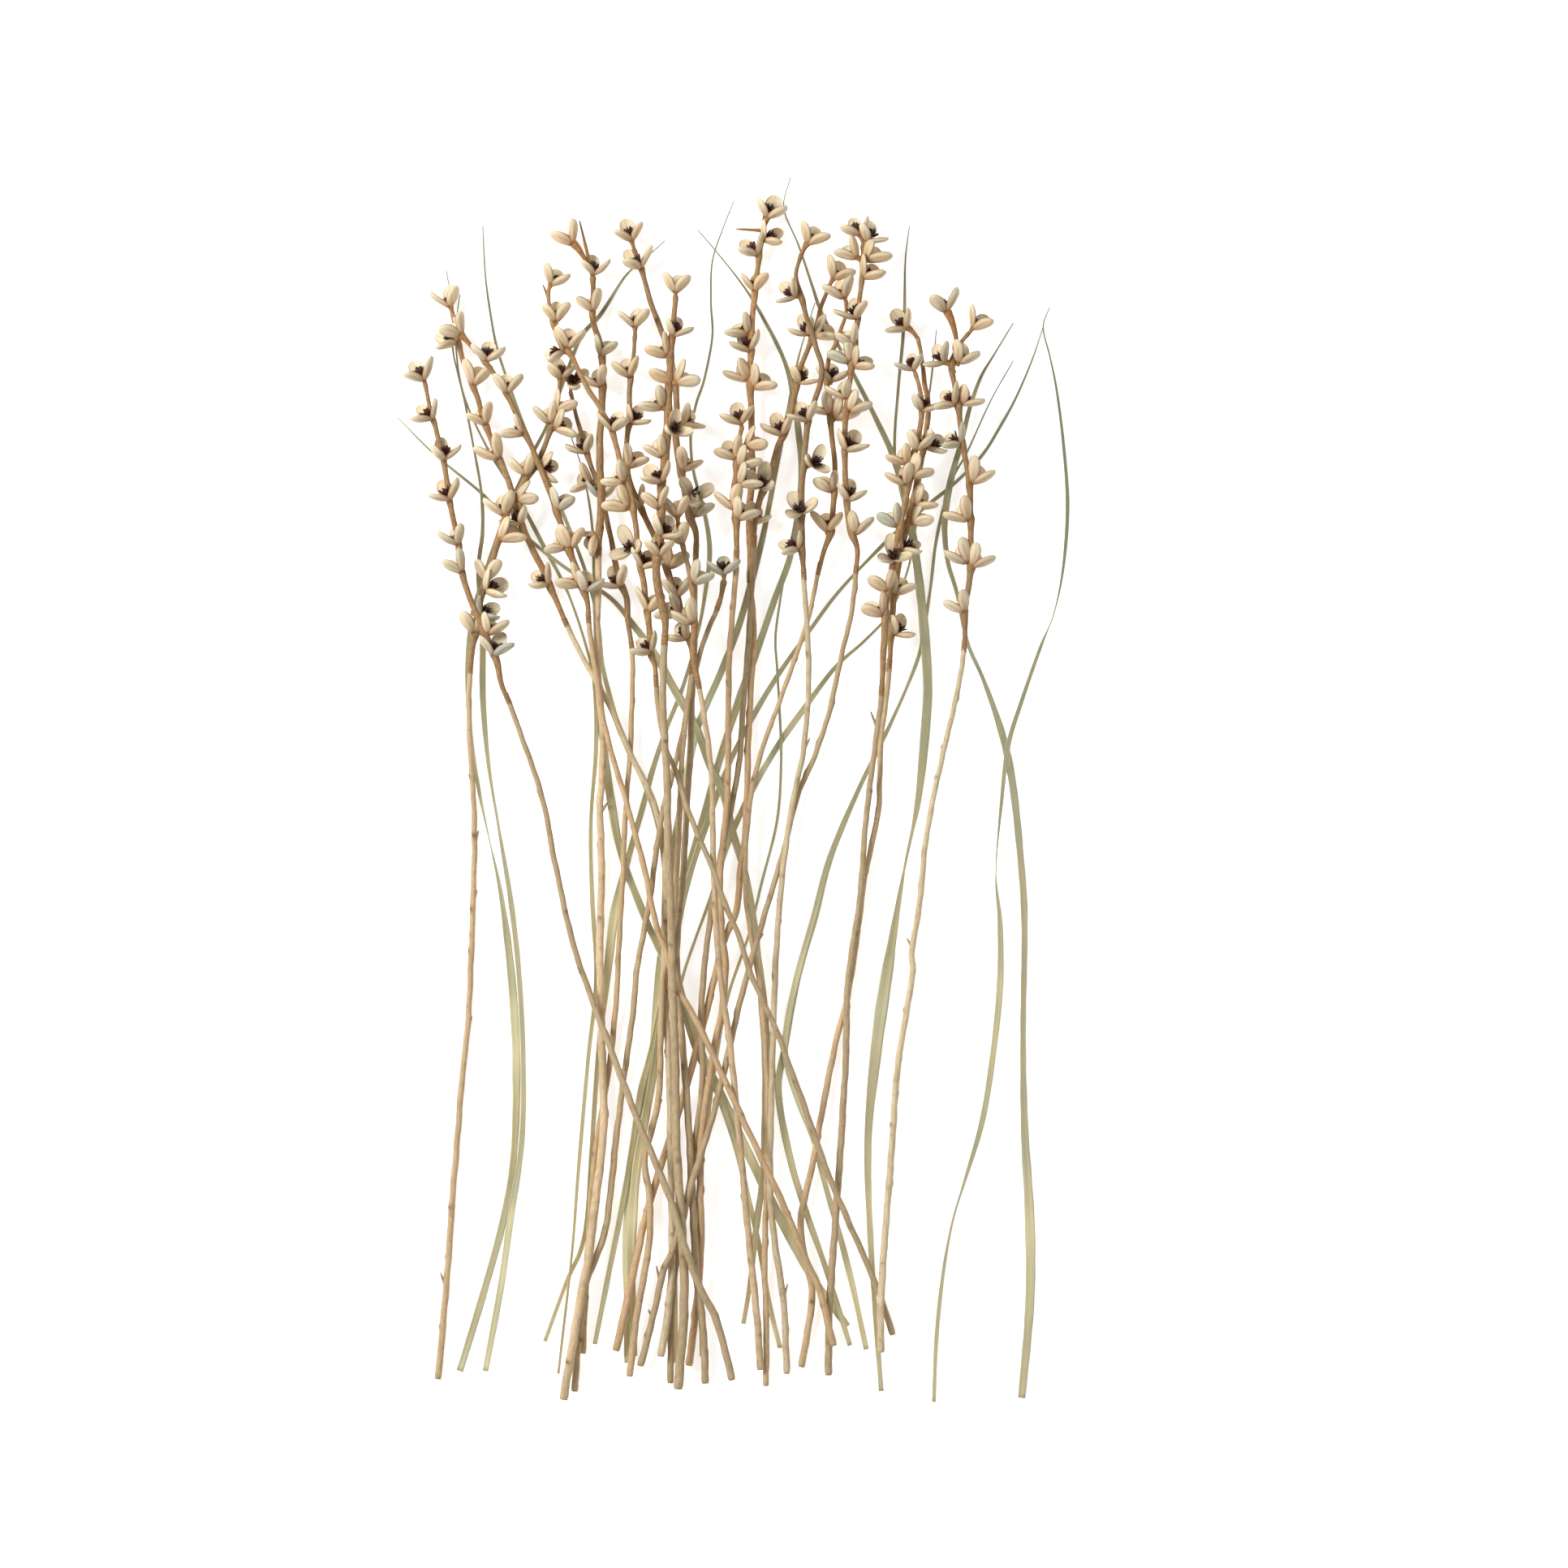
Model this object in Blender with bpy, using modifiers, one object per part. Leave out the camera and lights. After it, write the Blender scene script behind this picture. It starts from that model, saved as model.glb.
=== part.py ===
"""Bunch of dried branches with open seed pods and long grass blades, lying loose on a table.

Each branch is a bare twig whose upper end carries a spike of three-valved pods. The spike is a piece
of its own, spliced to the twig where a thin wire was wound. The blades are long strips of dried grass.
Nothing ties the bunch: every piece lies on the table or on the pieces laid before it.
Routes are in millimetres, seen from above, x to the right and y towards the pods. Everything else
is built in metres with +Z up.
"""
from math import cos, hypot, pi, radians, sin

import bmesh
import bpy
import numpy as np
from mathutils import Vector

MM = 0.001
SEED = 41

# Distances in the lay of the bunch, in millimetres
CONTACT_GAP = 0.3
TABLE_GAP = 0.05
SPLICE_GAP = 0.3
SPLICE_BACK = 3.0
STEM_STEP = 54.0
SPIKE_STEP = 36.0
BLADE_STEP = 50.0
CURVE_STEPS = 24
SAMPLE_STEP = 0.7
SAMPLES_ACROSS = 11
RELAXATIONS = 80
LOWERING = 0.5
LEAST_SHARE = 0.001
SEARCH_STEP = 1.0
END_ROOM = 1.0
WELD = 0.02
TABLE_X = (-290, 290)
TABLE_Y = (-490, 490)

# How sharply a piece may bend between the pieces that hold it up, as height over distance squared
TWIG_BEND = 0.0022
BLADE_BEND = 0.0045

# Pods, in millimetres and degrees
VALVES = 3
THIRD_TURN = 2 * pi / VALVES
VALVE_LENGTH = 17.2
VALVE_HALF_WIDTH = 4.6
VALVE_DEPTH = 3.9
VALVE_CURL = 2.0
POD_MIDDLE = 7.5
POD_SET_BACK = 9.0
POD_FLOOR = 3.0
POD_TRIES = 6
CLEFT_RADIUS = 1.7
PEDICEL_MIN = 4.0
STALK_SUNK = 1.0
PLUMP = (0.92, 1.08)
NEAR_LINE = 7.0
NEAR_LINE_TILT = 18
TILTS = (-4, 8)
FIRST_POD = 18.0

# How far a pod rises, is turned and opens, by how far its mouth faces up: away, aside, level or up
PITCHES = ((-24, -8), (-14, 2), (2, 16), (36, 52))
TURNS = ((-110, -70), (-112, -68), (-112, -68), (-140, -40))
OPENINGS = ((30, 40), (36, 46), (42, 54), (48, 58))

# Sections of a valve: how far along it and how much of its full width
VALVE_WAIST = (0.40, 0.94)
VALVE_END = (0.92, 0.52)
KEEL_AT = 0.5

# The wound wire at the foot of each spike, and the taper above it, in millimetres
WRAP_LENGTH = 13.0
WRAP_PROUD = 0.8
WRAP_RAMP = 2.0
SPIKE_TIP = 0.55

# Blades, in millimetres
BLADE_THICKNESS = 0.8
BLADE_TIP_WIDTH = 1.2
BLADE_TAPER = 210.0
BLADE_FOOT = 30.0
FOOT_WIDTH = 0.8
SEEN_TO_WIDE = 1.35
NARROWEST = 0.45

# Each branch: radius at the cut end and at the splice, how far each pod's mouth faces up, the twig from
# cut end to splice, the spike from splice to top, and the middles of its pods. A pod on a long stalk also
# says where that springs from
BRANCHES = {
    "01": dict(
        radii=(2.6, 1.9), mouths="22221012",
        twig=[(-1, -437), (-12, -395), (-25, -368), (-37, -335), (-48, -300), (-70, -247), (-90, -195),
              (-105, -155), (-120, -110), (-132, -55), (-140, -12), (-150, 20), (-160, 48), (-165, 62)],
        spike=[(-172, 80), (-175, 95), (-181, 108), (-189, 128), (-197, 147), (-202, 168), (-204, 187),
               (-209, 208), (-213, 235), (-218, 258), (-224, 280), (-228, 300)],
        pods=[(-233, 310), (-228, 279), (-214, 250), (-213, 220), (-206, 187), (-205, 166), (-178, 122),
              (-175, 107)]),
    "02": dict(
        radii=(2.3, 1.9), mouths="2010020100220",
        twig=[(-219, -437), (-213, -370), (-208, -300), (-202, -225), (-196, -160), (-193, -80),
              (-192, -45), (-193, 0), (-196, 50), (-195, 85)],
        spike=[(-193, 103), (-190, 120), (-187, 140), (-181, 160), (-175, 180), (-169, 200), (-162, 215),
               (-154, 228), (-143, 246), (-134, 270), (-129, 295)],
        pods=[(-128, 312), (-126, 285), (-124, 270), (-138, 277), (-155, 240), (-135, 238), (-153, 217),
              (-172, 211), (-166, 189), (-182, 161), (-176, 151), (-181, 133), (-193, 122)]),
    "03": dict(
        radii=(2.6, 2.0), mouths="1201122",
        twig=[(-54, -420), (-49, -390), (-46, -355), (-46, -300), (-47, -250), (-48, -200), (-51, -150),
              (-51, -110), (-51, -60), (-54, -30), (-61, -5), (-72, 17), (-82, 38), (-92, 62), (-103, 82),
              (-112, 98), (-123, 120)],
        spike=[(-130, 136), (-135, 148), (-141, 162), (-150, 180), (-158, 198), (-165, 222), (-170, 237),
               (-178, 255), (-184, 270), (-190, 290), (-198, 310), (-204, 332), (-208, 352)],
        pods=[(-212, 365), (-213, 335), (-190, 307), (-186, 275), (-177, 250), (-161, 202), (-143, 156)]),
    "04": dict(
        radii=(2.4, 1.9), mouths="021110011",
        twig=[(74, -412), (63, -370), (52, -345), (43, -322), (30, -293), (18, -268), (5, -240),
              (-8, -212), (-20, -187), (-31, -165), (-43, -145), (-50, -120), (-55, -108), (-61, -85),
              (-65, -62), (-71, -40), (-77, -18), (-83, 2), (-90, 25), (-96, 50), (-100, 75), (-105, 105),
              (-107, 122)],
        spike=[(-108, 137), (-112, 150), (-116, 163), (-123, 180), (-129, 200), (-138, 225), (-146, 245),
               (-155, 265), (-168, 292), (-178, 308), (-192, 325)],
        pods=[(-207, 341), (-181, 325), (-167, 301), (-163, 266), (-126, 214), (-131, 182), (-121, 184),
              (-121, 155), (-107, 154)]),
    "05": dict(
        radii=(3.0, 2.3), mouths="120011",
        twig=[(-126, -452), (-114, -380), (-107, -345), (-103, -310), (-98, -270), (-96, -240),
              (-98, -180), (-99, -120), (-98, -60), (-99, -12), (-98, 0), (-97, 40), (-100, 80),
              (-101, 120), (-100, 150), (-100, 172)],
        spike=[(-99, 192), (-98, 215), (-99, 250), (-97, 290), (-98, 325), (-104, 345), (-104, 365),
               (-104, 379)],
        pods=[(-124, 410), (-103, 389), (-106, 360), (-95, 328), (-101, 303), (-105, 185)]),
    "06": dict(
        radii=(2.2, 1.8), mouths="11122103212",
        twig=[(118, -404), (107, -372), (95, -343), (82, -313), (73, -293), (62, -263), (52, -233),
              (42, -207), (33, -182), (22, -157), (12, -135), (5, -112), (-5, -88), (-15, -60),
              (-26, -35), (-35, -12), (-42, 12), (-50, 30), (-56, 60), (-57, 74)],
        spike=[(-58, 90), (-61, 100), (-63, 125), (-66, 150), (-70, 172), (-73, 200), (-77, 222),
               (-83, 240), (-87, 255), (-91, 268), (-99, 282), (-107, 294), (-113, 306), (-119, 318),
               (-126, 329), (-132, 340), (-136, 356), (-137, 368)],
        pods=[(-131, 380), (-131, 352), (-121, 334), (-134, 324), (-88, 272), (-87, 231), (-84, 212),
              (-79, 180), (-64, 171), (-61, 138), (-66, 107)]),
    "07": dict(
        radii=(2.2, 1.8), mouths="32122",
        twig=[(-112, -418), (-110, -380), (-108, -340), (-106, -310), (-103, -275), (-98, -240),
              (-93, -212), (-89, -180), (-86, -140), (-84, -100), (-82, -60), (-80, -20), (-78, 10),
              (-76, 40), (-75, 70), (-75, 100)],
        spike=[(-78, 122), (-79, 140), (-85, 156), (-89, 175), (-93, 195), (-97, 213), (-102, 230),
               (-108, 246), (-113, 263), (-118, 282), (-121, 294)],
        pods=[(-118, 305), (-112, 255), (-113, 229), (-97, 222), (-88, 156)]),
    "08": dict(
        radii=(3.2, 2.5), mouths="02101302022",
        twig=[(-41, -444), (-37, -390), (-37, -345), (-42, -270), (-43, -210), (-45, -150), (-46, -100),
              (-48, -50), (-49, 0), (-51, 40), (-52, 70), (-51, 105)],
        spike=[(-50, 122), (-54, 140), (-57, 160), (-55, 182), (-53, 205), (-53, 225), (-50, 245),
               (-49, 265), (-48, 285), (-47, 305), (-46, 325), (-44, 345), (-43, 364)],
        pods=[(-42, 373), (-42, 340), (-55, 325), (-35, 304), (-59, 286), (-41, 268), (-56, 251),
              (-58, 233), (-57, 213), (-49, 193), (-55, 178)]),
    "09": dict(
        radii=(2.6, 2.1), mouths="2201130",
        twig=[(-21, -440), (-23, -395), (-28, -355), (-31, -290), (-36, -210), (-40, -165), (-42, -130),
              (-41, -100), (-38, -70), (-36, -40), (-34, -5), (-32, 30), (-31, 60), (-29, 100),
              (-29, 140), (-28, 172)],
        spike=[(-28, 190), (-33, 203), (-36, 220), (-40, 240), (-43, 260), (-42, 285), (-44, 305),
               (-48, 325), (-55, 342), (-62, 362), (-68, 384), (-74, 400)],
        pods=[(-78, 414), (-72, 391), (-51, 307), (-31, 275), (-34, 242), (-28, 220), (-25, 209)]),
    "10": dict(
        radii=(2.4, 1.9), mouths="112100112",
        twig=[(-77, -435), (-71, -385), (-63, -340), (-62, -305), (-66, -275), (-60, -250), (-55, -225),
              (-54, -180), (-52, -140), (-46, -105), (-43, -75), (-41, -45), (-40, -20), (-39, 10),
              (-36, 45), (-33, 70), (-31, 85)],
        spike=[(-31, 103), (-36, 120), (-42, 142), (-50, 163), (-58, 184), (-65, 200), (-71, 213),
               (-77, 228), (-80, 244), (-79, 258), (-77, 272), (-77, 288), (-76, 303), (-74, 320),
               (-73, 336)],
        pods=[(-73, 350), (-79, 311), (-71, 277), (-73, 244), (-72, 213), (-45, 171), (-42, 149),
              (-47, 133), (-40, 116)]),
    "11": dict(
        radii=(2.5, 1.9), mouths="0100",
        twig=[(20, -430), (17, -390), (13, -350), (8, -300), (4, -255), (-2, -195), (-9, -145),
              (-13, -100), (-15, -50), (-16, 5), (-21, 50), (-25, 73)],
        spike=[(-28, 88), (-30, 100), (-29, 120), (-30, 145), (-34, 165), (-38, 182), (-41, 196)],
        pods=[(-42, 209), (-40, 187), (-24, 158), (-34, 128)]),
    "12": dict(
        radii=(2.4, 1.8), mouths="2",
        twig=[(-118, -446), (-114, -400), (-109, -365), (-101, -345), (-94, -320), (-87, -260),
              (-81, -210), (-75, -170), (-71, -130), (-66, -103), (-61, -75), (-57, -45), (-52, -15),
              (-45, 12), (-38, 40), (-33, 65), (-27, 92), (-20, 115), (-13, 131)],
        spike=[(-9, 143), (-7, 154)],
        pods=[(-8, 167)]),
    "13": dict(
        radii=(2.6, 2.0), mouths="2100101",
        twig=[(-33, -427), (-27, -375), (-24, -330), (-25, -290), (-23, -250), (-18, -215), (-14, -190),
              (-8, -160), (-6, -130), (-9, -105), (-10, -70), (-8, -40), (-5, -10), (-4, 20), (-4, 60),
              (-3, 100), (0, 140), (2, 170)],
        spike=[(2, 188), (2, 205), (1, 220), (2, 235), (3, 250), (6, 268)],
        pods=[(3, 277), (-3, 251), (16, 257), (10, 244), (11, 230), (-1, 213), (7, 206)]),
    "14": dict(
        radii=(2.7, 2.1), mouths="222112101",
        twig=[(-87, -416), (-77, -370), (-66, -320), (-55, -283), (-38, -230), (-28, -195), (-19, -160),
              (-9, -118), (2, -90), (5, -60), (8, -40), (10, 0), (11, 40), (13, 80), (15, 120), (12, 152)],
        spike=[(12, 172), (12, 190), (12, 210), (14, 235), (13, 260), (13, 280), (12, 302), (13, 325),
               (14, 350), (16, 372), (19, 396), (22, 414)],
        pods=[(28, 431), (29, 411), (12, 402), (16, 375), (4, 342), (9, 331), (21, 303), (5, 309),
              (18, 204)]),
    "15": dict(
        radii=(2.3, 1.9), mouths="121223",
        twig=[(-47, -440), (-46, -390), (-44, -360), (-40, -335), (-34, -300), (-31, -280), (-27, -250),
              (-23, -215), (-24, -165), (-21, -125), (-17, -95), (-12, -60), (-3, -20), (4, 20), (7, 60),
              (10, 100), (13, 140), (15, 178)],
        spike=[(16, 198), (19, 212), (24, 226), (29, 240), (33, 254), (39, 265), (43, 279), (46, 296),
               (50, 313), (56, 328), (61, 341), (65, 358), (71, 373)],
        pods=[(78, 385), (51, 343), (68, 339), (51, 306), (33, 269), (20, 229)]),
    "16": dict(
        radii=(2.4, 1.9), mouths="122332",
        twig=[(39, -433), (37, -380), (31, -340), (27, -300), (28, -220), (30, -160), (32, -110),
              (36, -65), (43, -12), (51, 25), (55, 65), (55, 105), (52, 155)],
        spike=[(51, 175), (50, 195), (50, 215), (51, 235), (53, 252), (55, 270), (60, 288), (64, 299),
               (65, 312), (61, 325), (58, 336), (54, 349), (50, 364), (46, 380), (50, 395)],
        pods=[(59, 410), (39, 368), (51, 279), (63, 243), (48, 210), (41, 182)]),
    "17": dict(
        radii=(2.1, 1.7), mouths="120011",
        twig=[(24, -442), (24, -400), (23, -350), (24, -300), (25, -250), (24, -200), (20, -150),
              (13, -110), (9, -75), (9, -40), (14, 2), (24, 38), (37, 73), (49, 107), (56, 130), (62, 158)],
        spike=[(66, 174), (71, 187), (73, 200), (74, 213), (75, 229), (74, 247), (72, 266), (71, 285),
               (69, 300), (70, 317), (75, 328), (79, 339), (83, 350), (83, 361)],
        pods=[(79, 370), (73, 308), (66, 284), (80, 280), (69, 226), (69, 197)]),
    "18": dict(
        radii=(2.4, 1.8), mouths="22001201010220",
        twig=[(-69, -427), (-59, -388), (-52, -357), (-43, -335), (-31, -292), (-17, -247), (-5, -200),
              (7, -148), (21, -100), (37, -45), (47, -6), (59, 22), (70, 55), (79, 95), (87, 130),
              (90, 158)],
        spike=[(91, 178), (86, 192), (84, 207), (83, 225), (82, 245), (82, 262), (83, 277), (85, 295),
               (88, 317), (91, 340), (93, 362), (95, 382), (96, 402)],
        pods=[(90, 417), (103, 412), (85, 398), (104, 396), (102, 384), (88, 355), (84, 335), (96, 317),
              (81, 322), (80, 295), (91, 285), (87, 257), (86, 220), (91, 195)]),
    "19": dict(
        radii=(2.6, 2.0), mouths="2210100301",
        twig=[(70, -434), (71, -380), (76, -310), (80, -250), (83, -200), (84, -150), (89, -110),
              (94, -75), (98, -20), (103, 20), (107, 50), (109, 68)],
        spike=[(110, 86), (111, 105), (112, 125), (113, 140), (116, 157), (119, 173), (122, 189),
               (125, 204), (128, 219), (131, 234), (134, 251), (138, 267), (139, 283), (137, 297),
               (134, 308)],
        pods=[(130, 317), (141, 287), (136, 257), (124, 247), (125, 232), (136, 236), (116, 201),
              (118, 175), (110, 153), (104, 135)]),
    "20": dict(
        radii=(2.5, 1.9), mouths="2210212",
        twig=[(50, -428), (58, -375), (51, -340), (50, -315), (58, -280), (66, -235), (75, -190),
              (84, -155), (91, -110), (97, -65), (102, -42), (107, -15), (108, 8), (109, 35), (113, 68),
              (115, 88)],
        spike=[(116, 106), (117, 125), (118, 142), (121, 160), (124, 177), (128, 193), (132, 211),
               (136, 230), (140, 250), (143, 268), (144, 285), (141, 302), (139, 320), (136, 334)],
        pods=[(122, 347), (150, 257), (140, 215), (139, 201), (131, 182), (123, 150), (124, 121)]),
    "21": dict(
        radii=(2.5, 1.9), mouths="112121200000",
        twig=[(109, -417), (109, -375), (114, -305), (118, -250), (122, -200), (132, -140), (132, -120),
              (138, -80), (142, -40), (149, 0), (157, 35), (165, 70), (170, 102)],
        spike=[(171, 120), (171, 135), (174, 152), (176, 168), (175, 186), (175, 206), (174, 226),
               (171, 246), (168, 264), (166, 282), (163, 298), (161, 311), (165, 325), (174, 337)],
        pods=[(182, 347), (154, 361, 162, 316), (150, 321), (169, 320), (157, 290), (174, 291),
              (161, 260), (181, 233), (168, 205), (181, 171), (168, 174), (167, 138)]),
}

# Each blade: its full width, how wide it shows from above at these heights up the photo, and its route from
# cut end to tip
BLADES = {
    "01": dict(width=4.6, seen=[
        (-414, 3.2), (-340, 3.9), (-160, 4.4), (30, 3.5), (120, 3.0), (300, 2.0), (380, 1.2)], route=[
        (34, -414), (25, -375), (19, -340), (10, -300), (0, -260), (-12, -225), (-25, -190), (-36, -160),
        (-43, -128), (-48, -90), (-52, -50), (-58, -20), (-68, 8), (-78, 30), (-88, 55), (-97, 90),
        (-100, 120), (-105, 145), (-116, 178), (-132, 216), (-150, 255), (-165, 295), (-175, 325),
        (-180, 350), (-184, 380), (-186, 417)]),
    "02": dict(width=6.2, seen=[
        (-431, 5.0), (-320, 5.3), (-270, 4.6), (-210, 6.2), (-160, 6.2), (-110, 5.0), (-70, 2.6),
        (-40, 0.5), (-20, 1.4), (0, 2.5), (40, 3.2), (90, 4.2), (150, 4.0), (250, 2.4), (335, 2.8),
        (355, 3.2), (390, 1.8)], route=[
        (-203, -431), (-186, -375), (-171, -320), (-163, -270), (-161, -210), (-163, -160), (-168, -110),
        (-174, -70), (-181, -38), (-189, 0), (-195, 40), (-197, 90), (-193, 130), (-182, 165),
        (-170, 200), (-157, 230), (-148, 250), (-138, 270), (-125, 305), (-113, 335), (-98, 352),
        (-80, 380), (-62, 396), (-51, 406)]),
    "03": dict(width=7.0, seen=[
        (-396, 3.2), (-340, 4.4), (-280, 5.3), (-165, 7.0), (-125, 5.2), (-35, 5.3), (45, 6.2), (80, 6.0),
        (118, 4.6), (140, 3.0), (185, 2.4), (248, 1.6)], route=[
        (7, -396), (12, -365), (17, -320), (22, -280), (24, -210), (22, -165), (18, -125), (14, -95),
        (8, -62), (0, -35), (-8, -3), (-18, 18), (-28, 45), (-45, 75), (-57, 97), (-72, 118), (-90, 140),
        (-112, 155), (-128, 166), (-146, 180), (-172, 203), (-187, 219), (-222, 248), (-249, 275)]),
    "04": dict(width=5.0, seen=[
        (-431, 4.4), (-365, 5.0), (-315, 5.0), (-260, 3.9), (-200, 3.2), (-85, 3.9), (-30, 1.8),
        (-10, 1.8), (20, 2.6), (70, 4.4), (115, 4.6), (162, 3.2), (220, 2.0), (290, 1.4), (325, 1.1)], route=[
        (-184, -431), (-172, -365), (-165, -315), (-157, -260), (-156, -200), (-159, -140), (-165, -85),
        (-174, -30), (-182, 20), (-186, 70), (-186, 115), (-189, 162), (-186, 190), (-187, 220),
        (-194, 260), (-200, 290), (-208, 325), (-208, 355), (-213, 384)]),
    "05": dict(width=3.6, seen=[
        (-433, 1.8), (-345, 1.8), (-280, 2.6), (-200, 2.8), (-80, 3.2), (-25, 2.5), (30, 3.5), (97, 2.0),
        (143, 1.8), (180, 3.2), (255, 1.6), (295, 1.1)], route=[
        (-130, -433), (-120, -345), (-115, -280), (-108, -200), (-102, -140), (-105, -80), (-106, -25),
        (-102, 30), (-103, 70), (-107, 97), (-122, 143), (-141, 180), (-158, 212), (-184, 255),
        (-201, 295), (-206, 335), (-203, 366)]),
    "06": dict(width=7.4, seen=[
        (-398, 5.0), (-325, 7.0), (-258, 6.7), (-220, 7.4), (-115, 5.3), (-50, 5.3), (-15, 6.2), (35, 5.3),
        (110, 3.8), (195, 1.6), (235, 1.2)], route=[
        (84, -398), (58, -362), (38, -325), (24, -298), (5, -258), (-13, -220), (-28, -190), (-42, -145),
        (-57, -115), (-68, -90), (-83, -50), (-90, -15), (-97, 35), (-101, 90), (-103, 140), (-105, 195),
        (-112, 235), (-122, 265)]),
    "07": dict(width=4.8, seen=[
        (-454, 2.6), (-405, 3.2), (-358, 2.5), (-305, 1.4), (-260, 3.9), (-195, 4.6), (-145, 4.8),
        (-100, 3.9), (-62, 0.5), (-40, 1.0), (-10, 2.6), (32, 3.5), (65, 3.2), (105, 2.3), (120, 0.5),
        (132, 0.8), (165, 2.1), (210, 2.8), (255, 2.1), (320, 1.4)], route=[
        (148, -454), (150, -405), (155, -358), (162, -320), (171, -290), (184, -245), (192, -195),
        (197, -145), (197, -100), (194, -62), (198, -10), (203, 32), (213, 65), (227, 105), (237, 130),
        (244, 165), (247, 210), (244, 255), (239, 295), (234, 320), (229, 342), (234, 357)]),
    "08": dict(width=7.0, seen=[
        (-420, 5.0), (-320, 7.0), (-240, 6.0), (-110, 4.0), (-20, 4.4), (20, 3.5), (60, 4.0), (120, 2.8),
        (163, 2.3), (188, 2.8), (246, 2.3), (290, 1.6)], route=[
        (-74, -420), (-76, -360), (-75, -320), (-72, -280), (-65, -240), (-58, -200), (-51, -150),
        (-43, -110), (-33, -65), (-18, -20), (-3, 20), (15, 55), (33, 85), (58, 120), (75, 143),
        (93, 163), (118, 188), (142, 209), (162, 225), (183, 246), (197, 268), (209, 290), (221, 318),
        (229, 342)]),
    "09": dict(width=7.4, seen=[
        (-451, 5.3), (-380, 7.0), (-320, 7.4), (-250, 5.6), (-180, 3.9), (-100, 4.8), (-50, 5.0), (5, 5.6),
        (42, 5.3), (80, 2.6), (145, 2.8), (170, 3.2), (200, 4.6), (230, 6.0), (255, 5.0), (283, 3.2),
        (322, 3.7)], route=[
        (213, -451), (219, -380), (219, -320), (215, -250), (214, -180), (215, -100), (212, -50),
        (206, 5), (198, 42), (185, 80), (173, 108), (165, 145), (158, 170), (156, 200), (161, 230),
        (168, 255), (175, 283), (183, 305), (193, 322), (207, 345)]),
    "10": dict(width=5.0, seen=[
        (-415, 3.9), (-352, 4.4), (-295, 3.9), (-142, 5.0), (-95, 4.6), (-50, 4.0), (0, 2.5), (45, 2.0),
        (300, 1.9), (345, 2.8), (390, 1.8)], route=[
        (98, -415), (84, -352), (68, -295), (60, -263), (49, -235), (40, -207), (38, -185), (46, -142),
        (59, -95), (71, -50), (92, 0), (114, 45), (128, 75), (138, 102), (139, 132), (135, 165),
        (128, 200), (121, 232), (119, 258), (122, 300), (126, 345), (127, 390), (130, 417)]),
    "11": dict(width=9.4, seen=[
        (-446, 3.5), (-350, 3.9), (-265, 5.3), (-195, 8.5), (-165, 9.4), (-125, 8.0), (-100, 5.3),
        (-60, 1.8), (-30, 2.5), (-10, 4.4), (20, 6.7), (85, 7.2), (145, 6.5), (200, 5.8), (240, 5.0),
        (270, 3.7), (308, 2.8), (372, 2.0), (402, 1.4), (430, 0.9)], route=[
        (109, -446), (102, -350), (99, -265), (105, -195), (115, -125), (126, -60), (136, -10), (142, 50),
        (143, 85), (138, 145), (130, 200), (120, 240), (107, 270), (88, 308), (66, 350), (58, 372),
        (48, 402), (37, 430), (42, 453)]),
    "12": dict(width=5.2, seen=[
        (-412, 3.5), (-355, 3.9), (-315, 4.6), (-275, 5.0), (-140, 5.2), (-50, 4.0), (0, 2.4), (52, 2.0),
        (185, 2.3), (225, 1.8), (260, 1.0)], route=[
        (86, -412), (68, -355), (54, -315), (42, -275), (33, -225), (38, -190), (47, -140), (60, -95),
        (72, -50), (93, 0), (118, 52), (137, 100), (145, 145), (150, 185), (160, 225), (173, 250),
        (190, 287), (207, 317)]),
    "13": dict(width=6.2, seen=[
        (-411, 3.2), (-360, 3.9), (-315, 4.4), (-225, 5.3), (-60, 5.0), (40, 5.0), (72, 6.2), (120, 4.6),
        (290, 4.6), (320, 2.8), (355, 2.3), (385, 1.1)], route=[
        (-103, -411), (-93, -360), (-84, -315), (-76, -270), (-69, -225), (-60, -190), (-52, -150),
        (-44, -105), (-34, -60), (-24, -25), (-14, 10), (-5, 40), (6, 72), (18, 105), (30, 140),
        (41, 170), (47, 200), (50, 240), (44, 290), (36, 320), (18, 355), (5, 375), (-14, 399), (-27, 414)]),
    "14": dict(width=7.0, seen=[
        (-409, 2.8), (-365, 2.8), (-310, 3.5), (-190, 3.5), (-130, 6.2), (-90, 7.0), (-50, 4.4), (15, 3.9),
        (75, 2.8), (110, 1.8), (175, 3.7), (205, 2.8), (262, 1.8), (360, 1.4), (400, 1.1)], route=[
        (-140, -409), (-124, -365), (-113, -340), (-108, -310), (-105, -260), (-100, -190), (-93, -130),
        (-88, -90), (-78, -50), (-68, -15), (-60, 15), (-50, 45), (-38, 75), (-28, 110), (-22, 140),
        (-18, 175), (-22, 205), (-30, 235), (-32, 262), (-28, 285), (-22, 303), (-16, 335), (-17, 360),
        (-16, 390), (-8, 415), (0, 435)]),
    "15": dict(width=3.2, seen=[(-420, 2.5), (-200, 3.0), (-100, 1.8), (-23, 2.0), (115, 1.8)], route=[
        (-24, -420), (-25, -350), (-26, -300), (-20, -250), (-14, -205), (-5, -156), (11, -108), (21, -68),
        (32, -23), (35, 20), (34, 55), (32, 90), (31, 115), (37, 155), (45, 200)]),
    "16": dict(width=5.0, seen=[(-425, 5.0)], route=[
        (-79, -425), (-79, -380), (-80, -330), (-73, -270), (-66, -230), (-60, -190), (-56, -140),
        (-50, -90), (-44, -40), (-36, 5), (-26, 48), (-8, 90), (5, 125), (20, 180), (30, 230), (40, 280),
        (48, 320), (60, 360)]),
    "17": dict(width=4.6, seen=[
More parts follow.
